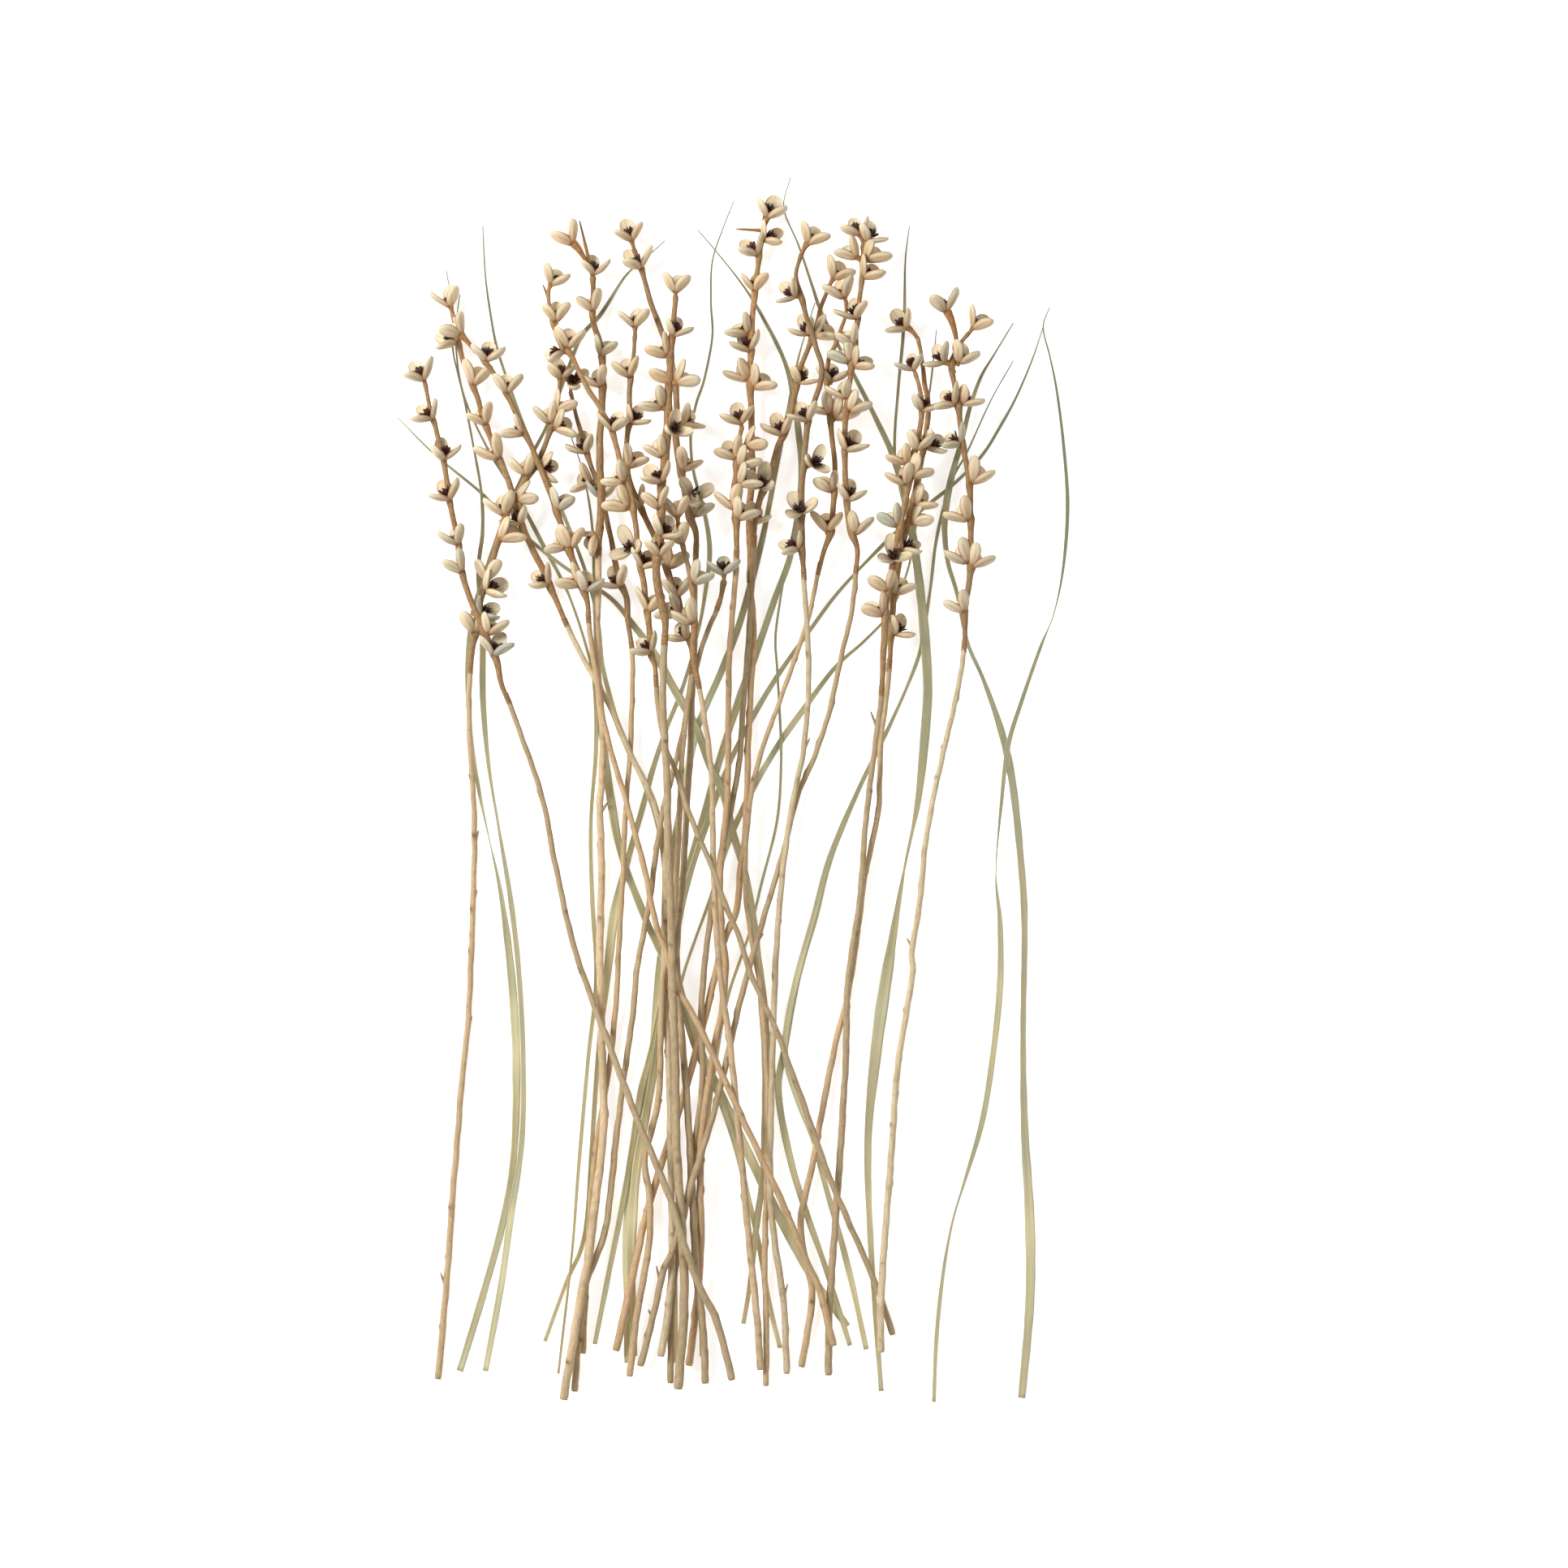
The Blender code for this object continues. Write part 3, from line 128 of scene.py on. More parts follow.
# Each branch: radius at the cut end and at the splice, how far each pod's mouth faces up, the twig from
# cut end to splice, the spike from splice to top, and the middles of its pods. A pod on a long stalk also
# says where that springs from
BRANCHES = {
    "01": dict(radii=(2.6, 1.9), mouths="22221012", twig=[
        (-1, -437), (-12, -395), (-25, -368), (-37, -335), (-48, -300), (-70, -247), (-90, -195),
        (-105, -155), (-120, -110), (-132, -55), (-140, -12), (-150, 20), (-160, 48), (-165, 62)], spike=[
        (-172, 80), (-175, 95), (-181, 108), (-189, 128), (-197, 147), (-202, 168), (-204, 187), (-209, 208),
        (-213, 235), (-218, 258), (-224, 280), (-228, 300)], pods=[
        (-233, 310), (-228, 279), (-214, 250), (-213, 220), (-206, 187), (-205, 166), (-178, 122),
        (-175, 107)]),
    "02": dict(radii=(2.3, 1.9), mouths="2010020100220", twig=[
        (-219, -437), (-213, -370), (-208, -300), (-202, -225), (-196, -160), (-193, -80), (-192, -45),
        (-193, 0), (-196, 50), (-195, 85)], spike=[
        (-193, 103), (-190, 120), (-187, 140), (-181, 160), (-175, 180), (-169, 200), (-162, 215),
        (-154, 228), (-143, 246), (-134, 270), (-129, 295)], pods=[
        (-128, 312), (-126, 285), (-124, 270), (-138, 277), (-155, 240), (-135, 238), (-153, 217),
        (-172, 211), (-166, 189), (-182, 161), (-176, 151), (-181, 133), (-193, 122)]),
    "03": dict(radii=(2.6, 2.0), mouths="1201122", twig=[
        (-54, -420), (-49, -390), (-46, -355), (-46, -300), (-47, -250), (-48, -200), (-51, -150),
        (-51, -110), (-51, -60), (-54, -30), (-61, -5), (-72, 17), (-82, 38), (-92, 62), (-103, 82),
        (-112, 98), (-123, 120)], spike=[
        (-130, 136), (-135, 148), (-141, 162), (-150, 180), (-158, 198), (-165, 222), (-170, 237),
        (-178, 255), (-184, 270), (-190, 290), (-198, 310), (-204, 332), (-208, 352)], pods=[
        (-212, 365), (-213, 335), (-190, 307), (-186, 275), (-177, 250), (-161, 202), (-143, 156)]),
    "04": dict(radii=(2.4, 1.9), mouths="021110011", twig=[
        (74, -412), (63, -370), (52, -345), (43, -322), (30, -293), (18, -268), (5, -240), (-8, -212),
        (-20, -187), (-31, -165), (-43, -145), (-50, -120), (-55, -108), (-61, -85), (-65, -62), (-71, -40),
        (-77, -18), (-83, 2), (-90, 25), (-96, 50), (-100, 75), (-105, 105), (-107, 122)], spike=[
        (-108, 137), (-112, 150), (-116, 163), (-123, 180), (-129, 200), (-138, 225), (-146, 245),
        (-155, 265), (-168, 292), (-178, 308), (-192, 325)], pods=[
        (-207, 341), (-181, 325), (-167, 301), (-163, 266), (-126, 214), (-131, 182), (-121, 184),
        (-121, 155), (-107, 154)]),
    "05": dict(radii=(3.0, 2.3), mouths="120011", twig=[
        (-126, -452), (-114, -380), (-107, -345), (-103, -310), (-98, -270), (-96, -240), (-98, -180),
        (-99, -120), (-98, -60), (-99, -12), (-98, 0), (-97, 40), (-100, 80), (-101, 120), (-100, 150),
        (-100, 172)], spike=[
        (-99, 192), (-98, 215), (-99, 250), (-97, 290), (-98, 325), (-104, 345), (-104, 365),
        (-104, 379)], pods=[
        (-124, 410), (-103, 389), (-106, 360), (-95, 328), (-101, 303), (-105, 185)]),
    "06": dict(radii=(2.2, 1.8), mouths="11122103212", twig=[
        (118, -404), (107, -372), (95, -343), (82, -313), (73, -293), (62, -263), (52, -233), (42, -207),
        (33, -182), (22, -157), (12, -135), (5, -112), (-5, -88), (-15, -60), (-26, -35), (-35, -12),
        (-42, 12), (-50, 30), (-56, 60), (-57, 74)], spike=[
        (-58, 90), (-61, 100), (-63, 125), (-66, 150), (-70, 172), (-73, 200), (-77, 222), (-83, 240),
        (-87, 255), (-91, 268), (-99, 282), (-107, 294), (-113, 306), (-119, 318), (-126, 329), (-132, 340),
        (-136, 356), (-137, 368)], pods=[
        (-131, 380), (-131, 352), (-121, 334), (-134, 324), (-88, 272), (-87, 231), (-84, 212), (-79, 180),
        (-64, 171), (-61, 138), (-66, 107)]),
    "07": dict(radii=(2.2, 1.8), mouths="32122", twig=[
        (-112, -418), (-110, -380), (-108, -340), (-106, -310), (-103, -275), (-98, -240), (-93, -212),
        (-89, -180), (-86, -140), (-84, -100), (-82, -60), (-80, -20), (-78, 10), (-76, 40), (-75, 70),
        (-75, 100)], spike=[
        (-78, 122), (-79, 140), (-85, 156), (-89, 175), (-93, 195), (-97, 213), (-102, 230), (-108, 246),
        (-113, 263), (-118, 282), (-121, 294)], pods=[
        (-118, 305), (-112, 255), (-113, 229), (-97, 222), (-88, 156)]),
    "08": dict(radii=(3.2, 2.5), mouths="02101302022", twig=[
        (-41, -444), (-37, -390), (-37, -345), (-42, -270), (-43, -210), (-45, -150), (-46, -100), (-48, -50),
        (-49, 0), (-51, 40), (-52, 70), (-51, 105)], spike=[
        (-50, 122), (-54, 140), (-57, 160), (-55, 182), (-53, 205), (-53, 225), (-50, 245), (-49, 265),
        (-48, 285), (-47, 305), (-46, 325), (-44, 345), (-43, 364)], pods=[
        (-42, 373), (-42, 340), (-55, 325), (-35, 304), (-59, 286), (-41, 268), (-56, 251), (-58, 233),
        (-57, 213), (-49, 193), (-55, 178)]),
    "09": dict(radii=(2.6, 2.1), mouths="2201130", twig=[
        (-21, -440), (-23, -395), (-28, -355), (-31, -290), (-36, -210), (-40, -165), (-42, -130),
        (-41, -100), (-38, -70), (-36, -40), (-34, -5), (-32, 30), (-31, 60), (-29, 100), (-29, 140),
        (-28, 172)], spike=[
        (-28, 190), (-33, 203), (-36, 220), (-40, 240), (-43, 260), (-42, 285), (-44, 305), (-48, 325),
        (-55, 342), (-62, 362), (-68, 384), (-74, 400)], pods=[
        (-78, 414), (-72, 391), (-51, 307), (-31, 275), (-34, 242), (-28, 220), (-25, 209)]),
    "10": dict(radii=(2.4, 1.9), mouths="112100112", twig=[
        (-77, -435), (-71, -385), (-63, -340), (-62, -305), (-66, -275), (-60, -250), (-55, -225),
        (-54, -180), (-52, -140), (-46, -105), (-43, -75), (-41, -45), (-40, -20), (-39, 10), (-36, 45),
        (-33, 70), (-31, 85)], spike=[
        (-31, 103), (-36, 120), (-42, 142), (-50, 163), (-58, 184), (-65, 200), (-71, 213), (-77, 228),
        (-80, 244), (-79, 258), (-77, 272), (-77, 288), (-76, 303), (-74, 320), (-73, 336)], pods=[
        (-73, 350), (-79, 311), (-71, 277), (-73, 244), (-72, 213), (-45, 171), (-42, 149), (-47, 133),
        (-40, 116)]),
    "11": dict(radii=(2.5, 1.9), mouths="0100", twig=[
        (20, -430), (17, -390), (13, -350), (8, -300), (4, -255), (-2, -195), (-9, -145), (-13, -100),
        (-15, -50), (-16, 5), (-21, 50), (-25, 73)], spike=[
        (-28, 88), (-30, 100), (-29, 120), (-30, 145), (-34, 165), (-38, 182), (-41, 196)], pods=[
        (-42, 209), (-40, 187), (-24, 158), (-34, 128)]),
    "12": dict(radii=(2.4, 1.8), mouths="2", twig=[
        (-118, -446), (-114, -400), (-109, -365), (-101, -345), (-94, -320), (-87, -260), (-81, -210),
        (-75, -170), (-71, -130), (-66, -103), (-61, -75), (-57, -45), (-52, -15), (-45, 12), (-38, 40),
        (-33, 65), (-27, 92), (-20, 115), (-13, 131)], spike=[
        (-9, 143), (-7, 154)], pods=[
        (-8, 167)]),
    "13": dict(radii=(2.6, 2.0), mouths="2100101", twig=[
        (-33, -427), (-27, -375), (-24, -330), (-25, -290), (-23, -250), (-18, -215), (-14, -190), (-8, -160),
        (-6, -130), (-9, -105), (-10, -70), (-8, -40), (-5, -10), (-4, 20), (-4, 60), (-3, 100), (0, 140),
        (2, 170)], spike=[
        (2, 188), (2, 205), (1, 220), (2, 235), (3, 250), (6, 268)], pods=[
        (3, 277), (-3, 251), (16, 257), (10, 244), (11, 230), (-1, 213), (7, 206)]),
    "14": dict(radii=(2.7, 2.1), mouths="222112101", twig=[
        (-87, -416), (-77, -370), (-66, -320), (-55, -283), (-38, -230), (-28, -195), (-19, -160), (-9, -118),
        (2, -90), (5, -60), (8, -40), (10, 0), (11, 40), (13, 80), (15, 120), (12, 152)], spike=[
        (12, 172), (12, 190), (12, 210), (14, 235), (13, 260), (13, 280), (12, 302), (13, 325), (14, 350),
        (16, 372), (19, 396), (22, 414)], pods=[
        (28, 431), (29, 411), (12, 402), (16, 375), (4, 342), (9, 331), (21, 303), (5, 309), (18, 204)]),
    "15": dict(radii=(2.3, 1.9), mouths="121223", twig=[
        (-47, -440), (-46, -390), (-44, -360), (-40, -335), (-34, -300), (-31, -280), (-27, -250),
        (-23, -215), (-24, -165), (-21, -125), (-17, -95), (-12, -60), (-3, -20), (4, 20), (7, 60), (10, 100),
        (13, 140), (15, 178)], spike=[
        (16, 198), (19, 212), (24, 226), (29, 240), (33, 254), (39, 265), (43, 279), (46, 296), (50, 313),
        (56, 328), (61, 341), (65, 358), (71, 373)], pods=[
        (78, 385), (51, 343), (68, 339), (51, 306), (33, 269), (20, 229)]),
    "16": dict(radii=(2.4, 1.9), mouths="122332", twig=[
        (39, -433), (37, -380), (31, -340), (27, -300), (28, -220), (30, -160), (32, -110), (36, -65),
        (43, -12), (51, 25), (55, 65), (55, 105), (52, 155)], spike=[
        (51, 175), (50, 195), (50, 215), (51, 235), (53, 252), (55, 270), (60, 288), (64, 299), (65, 312),
        (61, 325), (58, 336), (54, 349), (50, 364), (46, 380), (50, 395)], pods=[
        (59, 410), (39, 368), (51, 279), (63, 243), (48, 210), (41, 182)]),
    "17": dict(radii=(2.1, 1.7), mouths="120011", twig=[
        (24, -442), (24, -400), (23, -350), (24, -300), (25, -250), (24, -200), (20, -150), (13, -110),
        (9, -75), (9, -40), (14, 2), (24, 38), (37, 73), (49, 107), (56, 130), (62, 158)], spike=[
        (66, 174), (71, 187), (73, 200), (74, 213), (75, 229), (74, 247), (72, 266), (71, 285), (69, 300),
        (70, 317), (75, 328), (79, 339), (83, 350), (83, 361)], pods=[
        (79, 370), (73, 308), (66, 284), (80, 280), (69, 226), (69, 197)]),
    "18": dict(radii=(2.4, 1.8), mouths="22001201010220", twig=[
        (-69, -427), (-59, -388), (-52, -357), (-43, -335), (-31, -292), (-17, -247), (-5, -200), (7, -148),
        (21, -100), (37, -45), (47, -6), (59, 22), (70, 55), (79, 95), (87, 130), (90, 158)], spike=[
        (91, 178), (86, 192), (84, 207), (83, 225), (82, 245), (82, 262), (83, 277), (85, 295), (88, 317),
        (91, 340), (93, 362), (95, 382), (96, 402)], pods=[
        (90, 417), (103, 412), (85, 398), (104, 396), (102, 384), (88, 355), (84, 335), (96, 317), (81, 322),
        (80, 295), (91, 285), (87, 257), (86, 220), (91, 195)]),
    "19": dict(radii=(2.6, 2.0), mouths="2210100301", twig=[
        (70, -434), (71, -380), (76, -310), (80, -250), (83, -200), (84, -150), (89, -110), (94, -75),
        (98, -20), (103, 20), (107, 50), (109, 68)], spike=[
        (110, 86), (111, 105), (112, 125), (113, 140), (116, 157), (119, 173), (122, 189), (125, 204),
        (128, 219), (131, 234), (134, 251), (138, 267), (139, 283), (137, 297), (134, 308)], pods=[
        (130, 317), (141, 287), (136, 257), (124, 247), (125, 232), (136, 236), (116, 201), (118, 175),
        (110, 153), (104, 135)]),
    "20": dict(radii=(2.5, 1.9), mouths="2210212", twig=[
        (50, -428), (58, -375), (51, -340), (50, -315), (58, -280), (66, -235), (75, -190), (84, -155),
        (91, -110), (97, -65), (102, -42), (107, -15), (108, 8), (109, 35), (113, 68), (115, 88)], spike=[
        (116, 106), (117, 125), (118, 142), (121, 160), (124, 177), (128, 193), (132, 211), (136, 230),
        (140, 250), (143, 268), (144, 285), (141, 302), (139, 320), (136, 334)], pods=[
        (122, 347), (150, 257), (140, 215), (139, 201), (131, 182), (123, 150), (124, 121)]),
    "21": dict(radii=(2.5, 1.9), mouths="112121200000", twig=[
        (109, -417), (109, -375), (114, -305), (118, -250), (122, -200), (132, -140), (132, -120), (138, -80),
        (142, -40), (149, 0), (157, 35), (165, 70), (170, 102)], spike=[
        (171, 120), (171, 135), (174, 152), (176, 168), (175, 186), (175, 206), (174, 226), (171, 246),
        (168, 264), (166, 282), (163, 298), (161, 311), (165, 325), (174, 337)], pods=[
        (182, 347), (154, 361, 162, 316), (150, 321), (169, 320), (157, 290), (174, 291), (161, 260),
        (181, 233), (168, 205), (181, 171), (168, 174), (167, 138)]),
}

# Each blade: width at the cut end, how wide it shows from above at places along y, and the route from cut end
# to tip
BLADES = {
    "01": dict(width=4.6, seen=[
        (-414, 3.2), (-340, 3.9), (-160, 4.4), (30, 3.5), (120, 3.0), (300, 2.0), (380, 1.2)], route=[
        (34, -414), (25, -375), (19, -340), (10, -300), (0, -260), (-12, -225), (-25, -190), (-36, -160),
        (-43, -128), (-48, -90), (-52, -50), (-58, -20), (-68, 8), (-78, 30), (-88, 55), (-97, 90),
        (-100, 120), (-105, 145), (-116, 178), (-132, 216), (-150, 255), (-165, 295), (-175, 325),
        (-180, 350), (-184, 380), (-186, 417)]),
    "02": dict(width=6.2, seen=[
        (-431, 5.0), (-320, 5.3), (-270, 4.6), (-210, 6.2), (-160, 6.2), (-110, 5.0), (-70, 2.6), (-40, 0.5),
        (-20, 1.4), (0, 2.5), (40, 3.2), (90, 4.2), (150, 4.0), (250, 2.4), (335, 2.8), (355, 3.2),
        (390, 1.8)], route=[
        (-203, -431), (-186, -375), (-171, -320), (-163, -270), (-161, -210), (-163, -160), (-168, -110),
        (-174, -70), (-181, -38), (-189, 0), (-195, 40), (-197, 90), (-193, 130), (-182, 165), (-170, 200),
        (-157, 230), (-148, 250), (-138, 270), (-125, 305), (-113, 335), (-98, 352), (-80, 380), (-62, 396),
        (-51, 406)]),
    "03": dict(width=7.0, seen=[
        (-396, 3.2), (-340, 4.4), (-280, 5.3), (-165, 7.0), (-125, 5.2), (-35, 5.3), (45, 6.2), (80, 6.0),
        (118, 4.6), (140, 3.0), (185, 2.4), (248, 1.6)], route=[
        (7, -396), (12, -365), (17, -320), (22, -280), (24, -210), (22, -165), (18, -125), (14, -95),
        (8, -62), (0, -35), (-8, -3), (-18, 18), (-28, 45), (-45, 75), (-57, 97), (-72, 118), (-90, 140),
        (-112, 155), (-128, 166), (-146, 180), (-172, 203), (-187, 219), (-222, 248), (-249, 275)]),
    "04": dict(width=5.0, seen=[
        (-431, 4.4), (-365, 5.0), (-315, 5.0), (-260, 3.9), (-200, 3.2), (-85, 3.9), (-30, 1.8), (-10, 1.8),
        (20, 2.6), (70, 4.4), (115, 4.6), (162, 3.2), (220, 2.0), (290, 1.4), (325, 1.1)], route=[
        (-184, -431), (-172, -365), (-165, -315), (-157, -260), (-156, -200), (-159, -140), (-165, -85),
        (-174, -30), (-182, 20), (-186, 70), (-186, 115), (-189, 162), (-186, 190), (-187, 220), (-194, 260),
        (-200, 290), (-208, 325), (-208, 355), (-213, 384)]),
    "05": dict(width=3.6, seen=[
        (-433, 1.8), (-345, 1.8), (-280, 2.6), (-200, 2.8), (-80, 3.2), (-25, 2.5), (30, 3.5), (97, 2.0),
        (143, 1.8), (180, 3.2), (255, 1.6), (295, 1.1)], route=[
        (-130, -433), (-120, -345), (-115, -280), (-108, -200), (-102, -140), (-105, -80), (-106, -25),
        (-102, 30), (-103, 70), (-107, 97), (-122, 143), (-141, 180), (-158, 212), (-184, 255), (-201, 295),
        (-206, 335), (-203, 366)]),
    "06": dict(width=7.4, seen=[
        (-398, 5.0), (-325, 7.0), (-258, 6.7), (-220, 7.4), (-115, 5.3), (-50, 5.3), (-15, 6.2), (35, 5.3),
        (110, 3.8), (195, 1.6), (235, 1.2)], route=[
        (84, -398), (58, -362), (38, -325), (24, -298), (5, -258), (-13, -220), (-28, -190), (-42, -145),
        (-57, -115), (-68, -90), (-83, -50), (-90, -15), (-97, 35), (-101, 90), (-103, 140), (-105, 195),
        (-112, 235), (-122, 265)]),
    "07": dict(width=4.8, seen=[
        (-454, 2.6), (-405, 3.2), (-358, 2.5), (-305, 1.4), (-260, 3.9), (-195, 4.6), (-145, 4.8),
        (-100, 3.9), (-62, 0.5), (-40, 1.0), (-10, 2.6), (32, 3.5), (65, 3.2), (105, 2.3), (120, 0.5),
        (132, 0.8), (165, 2.1), (210, 2.8), (255, 2.1), (320, 1.4)], route=[
        (148, -454), (150, -405), (155, -358), (162, -320), (171, -290), (184, -245), (192, -195),
        (197, -145), (197, -100), (194, -62), (198, -10), (203, 32), (213, 65), (227, 105), (237, 130),
        (244, 165), (247, 210), (244, 255), (239, 295), (234, 320), (229, 342), (234, 357)]),
    "08": dict(width=7.0, seen=[
        (-420, 5.0), (-320, 7.0), (-240, 6.0), (-110, 4.0), (-20, 4.4), (20, 3.5), (60, 4.0), (120, 2.8),
        (163, 2.3), (188, 2.8), (246, 2.3), (290, 1.6)], route=[
        (-74, -420), (-76, -360), (-75, -320), (-72, -280), (-65, -240), (-58, -200), (-51, -150),
        (-43, -110), (-33, -65), (-18, -20), (-3, 20), (15, 55), (33, 85), (58, 120), (75, 143), (93, 163),
        (118, 188), (142, 209), (162, 225), (183, 246), (197, 268), (209, 290), (221, 318), (229, 342)]),
    "09": dict(width=7.4, seen=[
        (-451, 5.3), (-380, 7.0), (-320, 7.4), (-250, 5.6), (-180, 3.9), (-100, 4.8), (-50, 5.0), (5, 5.6),
        (42, 5.3), (80, 2.6), (145, 2.8), (170, 3.2), (200, 4.6), (230, 6.0), (255, 5.0), (283, 3.2),
        (322, 3.7)], route=[
        (213, -451), (219, -380), (219, -320), (215, -250), (214, -180), (215, -100), (212, -50), (206, 5),
        (198, 42), (185, 80), (173, 108), (165, 145), (158, 170), (156, 200), (161, 230), (168, 255),
        (175, 283), (183, 305), (193, 322), (207, 345)]),
    "10": dict(width=5.0, seen=[
        (-415, 3.9), (-352, 4.4), (-295, 3.9), (-142, 5.0), (-95, 4.6), (-50, 4.0), (0, 2.5), (45, 2.0),
        (300, 1.9), (345, 2.8), (390, 1.8)], route=[
        (98, -415), (84, -352), (68, -295), (60, -263), (49, -235), (40, -207), (38, -185), (46, -142),
        (59, -95), (71, -50), (92, 0), (114, 45), (128, 75), (138, 102), (139, 132), (135, 165), (128, 200),
        (121, 232), (119, 258), (122, 300), (126, 345), (127, 390), (130, 417)]),
    "11": dict(width=9.4, seen=[
        (-446, 3.5), (-350, 3.9), (-265, 5.3), (-195, 8.5), (-165, 9.4), (-125, 8.0), (-100, 5.3), (-60, 1.8),
        (-30, 2.5), (-10, 4.4), (20, 6.7), (85, 7.2), (145, 6.5), (200, 5.8), (240, 5.0), (270, 3.7),
        (308, 2.8), (372, 2.0), (402, 1.4), (430, 0.9)], route=[
        (109, -446), (102, -350), (99, -265), (105, -195), (115, -125), (126, -60), (136, -10), (142, 50),
        (143, 85), (138, 145), (130, 200), (120, 240), (107, 270), (88, 308), (66, 350), (58, 372), (48, 402),
        (37, 430), (42, 453)]),
    "12": dict(width=5.2, seen=[
        (-412, 3.5), (-355, 3.9), (-315, 4.6), (-275, 5.0), (-140, 5.2), (-50, 4.0), (0, 2.4), (52, 2.0),
        (185, 2.3), (225, 1.8), (260, 1.0)], route=[
        (86, -412), (68, -355), (54, -315), (42, -275), (33, -225), (38, -190), (47, -140), (60, -95),
        (72, -50), (93, 0), (118, 52), (137, 100), (145, 145), (150, 185), (160, 225), (173, 250), (190, 287),
        (207, 317)]),
    "13": dict(width=6.2, seen=[
        (-411, 3.2), (-360, 3.9), (-315, 4.4), (-225, 5.3), (-60, 5.0), (40, 5.0), (72, 6.2), (120, 4.6),
        (290, 4.6), (320, 2.8), (355, 2.3), (385, 1.1)], route=[
        (-103, -411), (-93, -360), (-84, -315), (-76, -270), (-69, -225), (-60, -190), (-52, -150),
        (-44, -105), (-34, -60), (-24, -25), (-14, 10), (-5, 40), (6, 72), (18, 105), (30, 140), (41, 170),
        (47, 200), (50, 240), (44, 290), (36, 320), (18, 355), (5, 375), (-14, 399), (-27, 414)]),
    "14": dict(width=7.0, seen=[
        (-409, 2.8), (-365, 2.8), (-310, 3.5), (-190, 3.5), (-130, 6.2), (-90, 7.0), (-50, 4.4), (15, 3.9),
        (75, 2.8), (110, 1.8), (175, 3.7), (205, 2.8), (262, 1.8), (360, 1.4), (400, 1.1)], route=[
        (-140, -409), (-124, -365), (-113, -340), (-108, -310), (-105, -260), (-100, -190), (-93, -130),
        (-88, -90), (-78, -50), (-68, -15), (-60, 15), (-50, 45), (-38, 75), (-28, 110), (-22, 140),
        (-18, 175), (-22, 205), (-30, 235), (-32, 262), (-28, 285), (-22, 303), (-16, 335), (-17, 360),
        (-16, 390), (-8, 415), (0, 435)]),
    "15": dict(width=3.2, seen=[
        (-420, 2.5), (-200, 3.0), (-100, 1.8), (-23, 2.0), (115, 1.8)], route=[
        (-24, -420), (-25, -350), (-26, -300), (-20, -250), (-14, -205), (-5, -156), (11, -108), (21, -68),
        (32, -23), (35, 20), (34, 55), (32, 90), (31, 115), (37, 155), (45, 200)]),
    "16": dict(width=5.0, seen=[
        (-425, 5.0)], route=[
        (-79, -425), (-79, -380), (-80, -330), (-73, -270), (-66, -230), (-60, -190), (-56, -140), (-50, -90),
        (-44, -40), (-36, 5), (-26, 48), (-8, 90), (5, 125), (20, 180), (30, 230), (40, 280), (48, 320),
        (60, 360)]),
    "17": dict(width=4.6, seen=[
        (-425, 3.5), (-180, 3.0), (-110, 1.8), (-80, 2.5), (-50, 4.4), (57, 4.4), (90, 2.8),
        (125, 1.6)], route=[
        (-43, -425), (-44, -350), (-47, -290), (-48, -230), (-47, -180), (-38, -140), (-28, -110), (-17, -80),
        (-8, -50), (2, -25), (14, 0), (30, 28), (50, 57), (75, 90), (97, 110), (115, 130), (128, 160),
        (134, 190), (137, 220), (140, 250), (143, 280), (147, 310), (150, 340)]),
}

# The pieces in the order in which they come to rest, the lowest first
LAYING_ORDER = [
    "blade_16", "blade_17", "blade_13", "blade_08", "blade_14", "blade_06", "blade_05", "blade_01",
    "blade_15", "blade_12", "blade_10", "blade_11", "blade_03", "blade_09", "blade_02", "blade_04",
    "blade_07", "branch_14", "branch_15", "branch_07", "branch_03", "branch_17", "branch_13",
    "branch_12", "branch_09", "branch_10", "branch_18", "branch_16", "branch_11", "branch_20",
    "branch_05", "branch_19", "branch_02", "branch_06", "branch_21", "branch_04", "branch_08",
    "branch_01",
]

# Short side shoots on the twigs: branch, foot and tip
SPURS = [
    ("16", (38, -378), (41, -366)), ("18", (-54, -366), (-57, -353)), ("18", (-57, -393), (-60, -386)),
    ("10", (-56, -238), (-52, -230)), ("02", (-193, -84), (-190, -75)), ("02", (-192, -42), (-189, -31)),
    ("19", (106, 44), (101, 57)), ("19", (89, -113), (94, -105)), ("18", (18, -114), (23, -107)),
    ("16", (53, 27), (58, 37)), ("08", (-47, -88), (-53, -81)), ("02", (-214, -370), (-218, -358)),
    ("05", (-99, -18), (-93, -9)), ("21", (133, -118), (129, -110)), ("05", (-104, 378), (-114, 420)),
    ("06", (-136, 362), (-140, 372)), ("14", (22, 414), (2, 415)), ("14", (19, 398), (22, 426)),
]

# Tints a little towards blue-green: the pods that show it, and how strongly
TEAL_PODS = {
    (-175, 107): 0.8, (-181, 133): 0.7, (-126, 214): 0.5, (-107, 154): 0.4, (-95, 328): 0.35,
    (-66, 107): 0.35, (-97, 222): 0.8, (-25, 209): 0.6, (-24, 158): 0.7, (-8, 167): 0.9, (81, 322): 0.4,
    (130, 317): 0.35, (116, 201): 0.6, (161, 260): 0.4, (-206, 187): 0.4, (-205, 166): 0.35,
    (91, 195): 0.3, (150, 321): 0.3, (122, 347): 0.3,
}


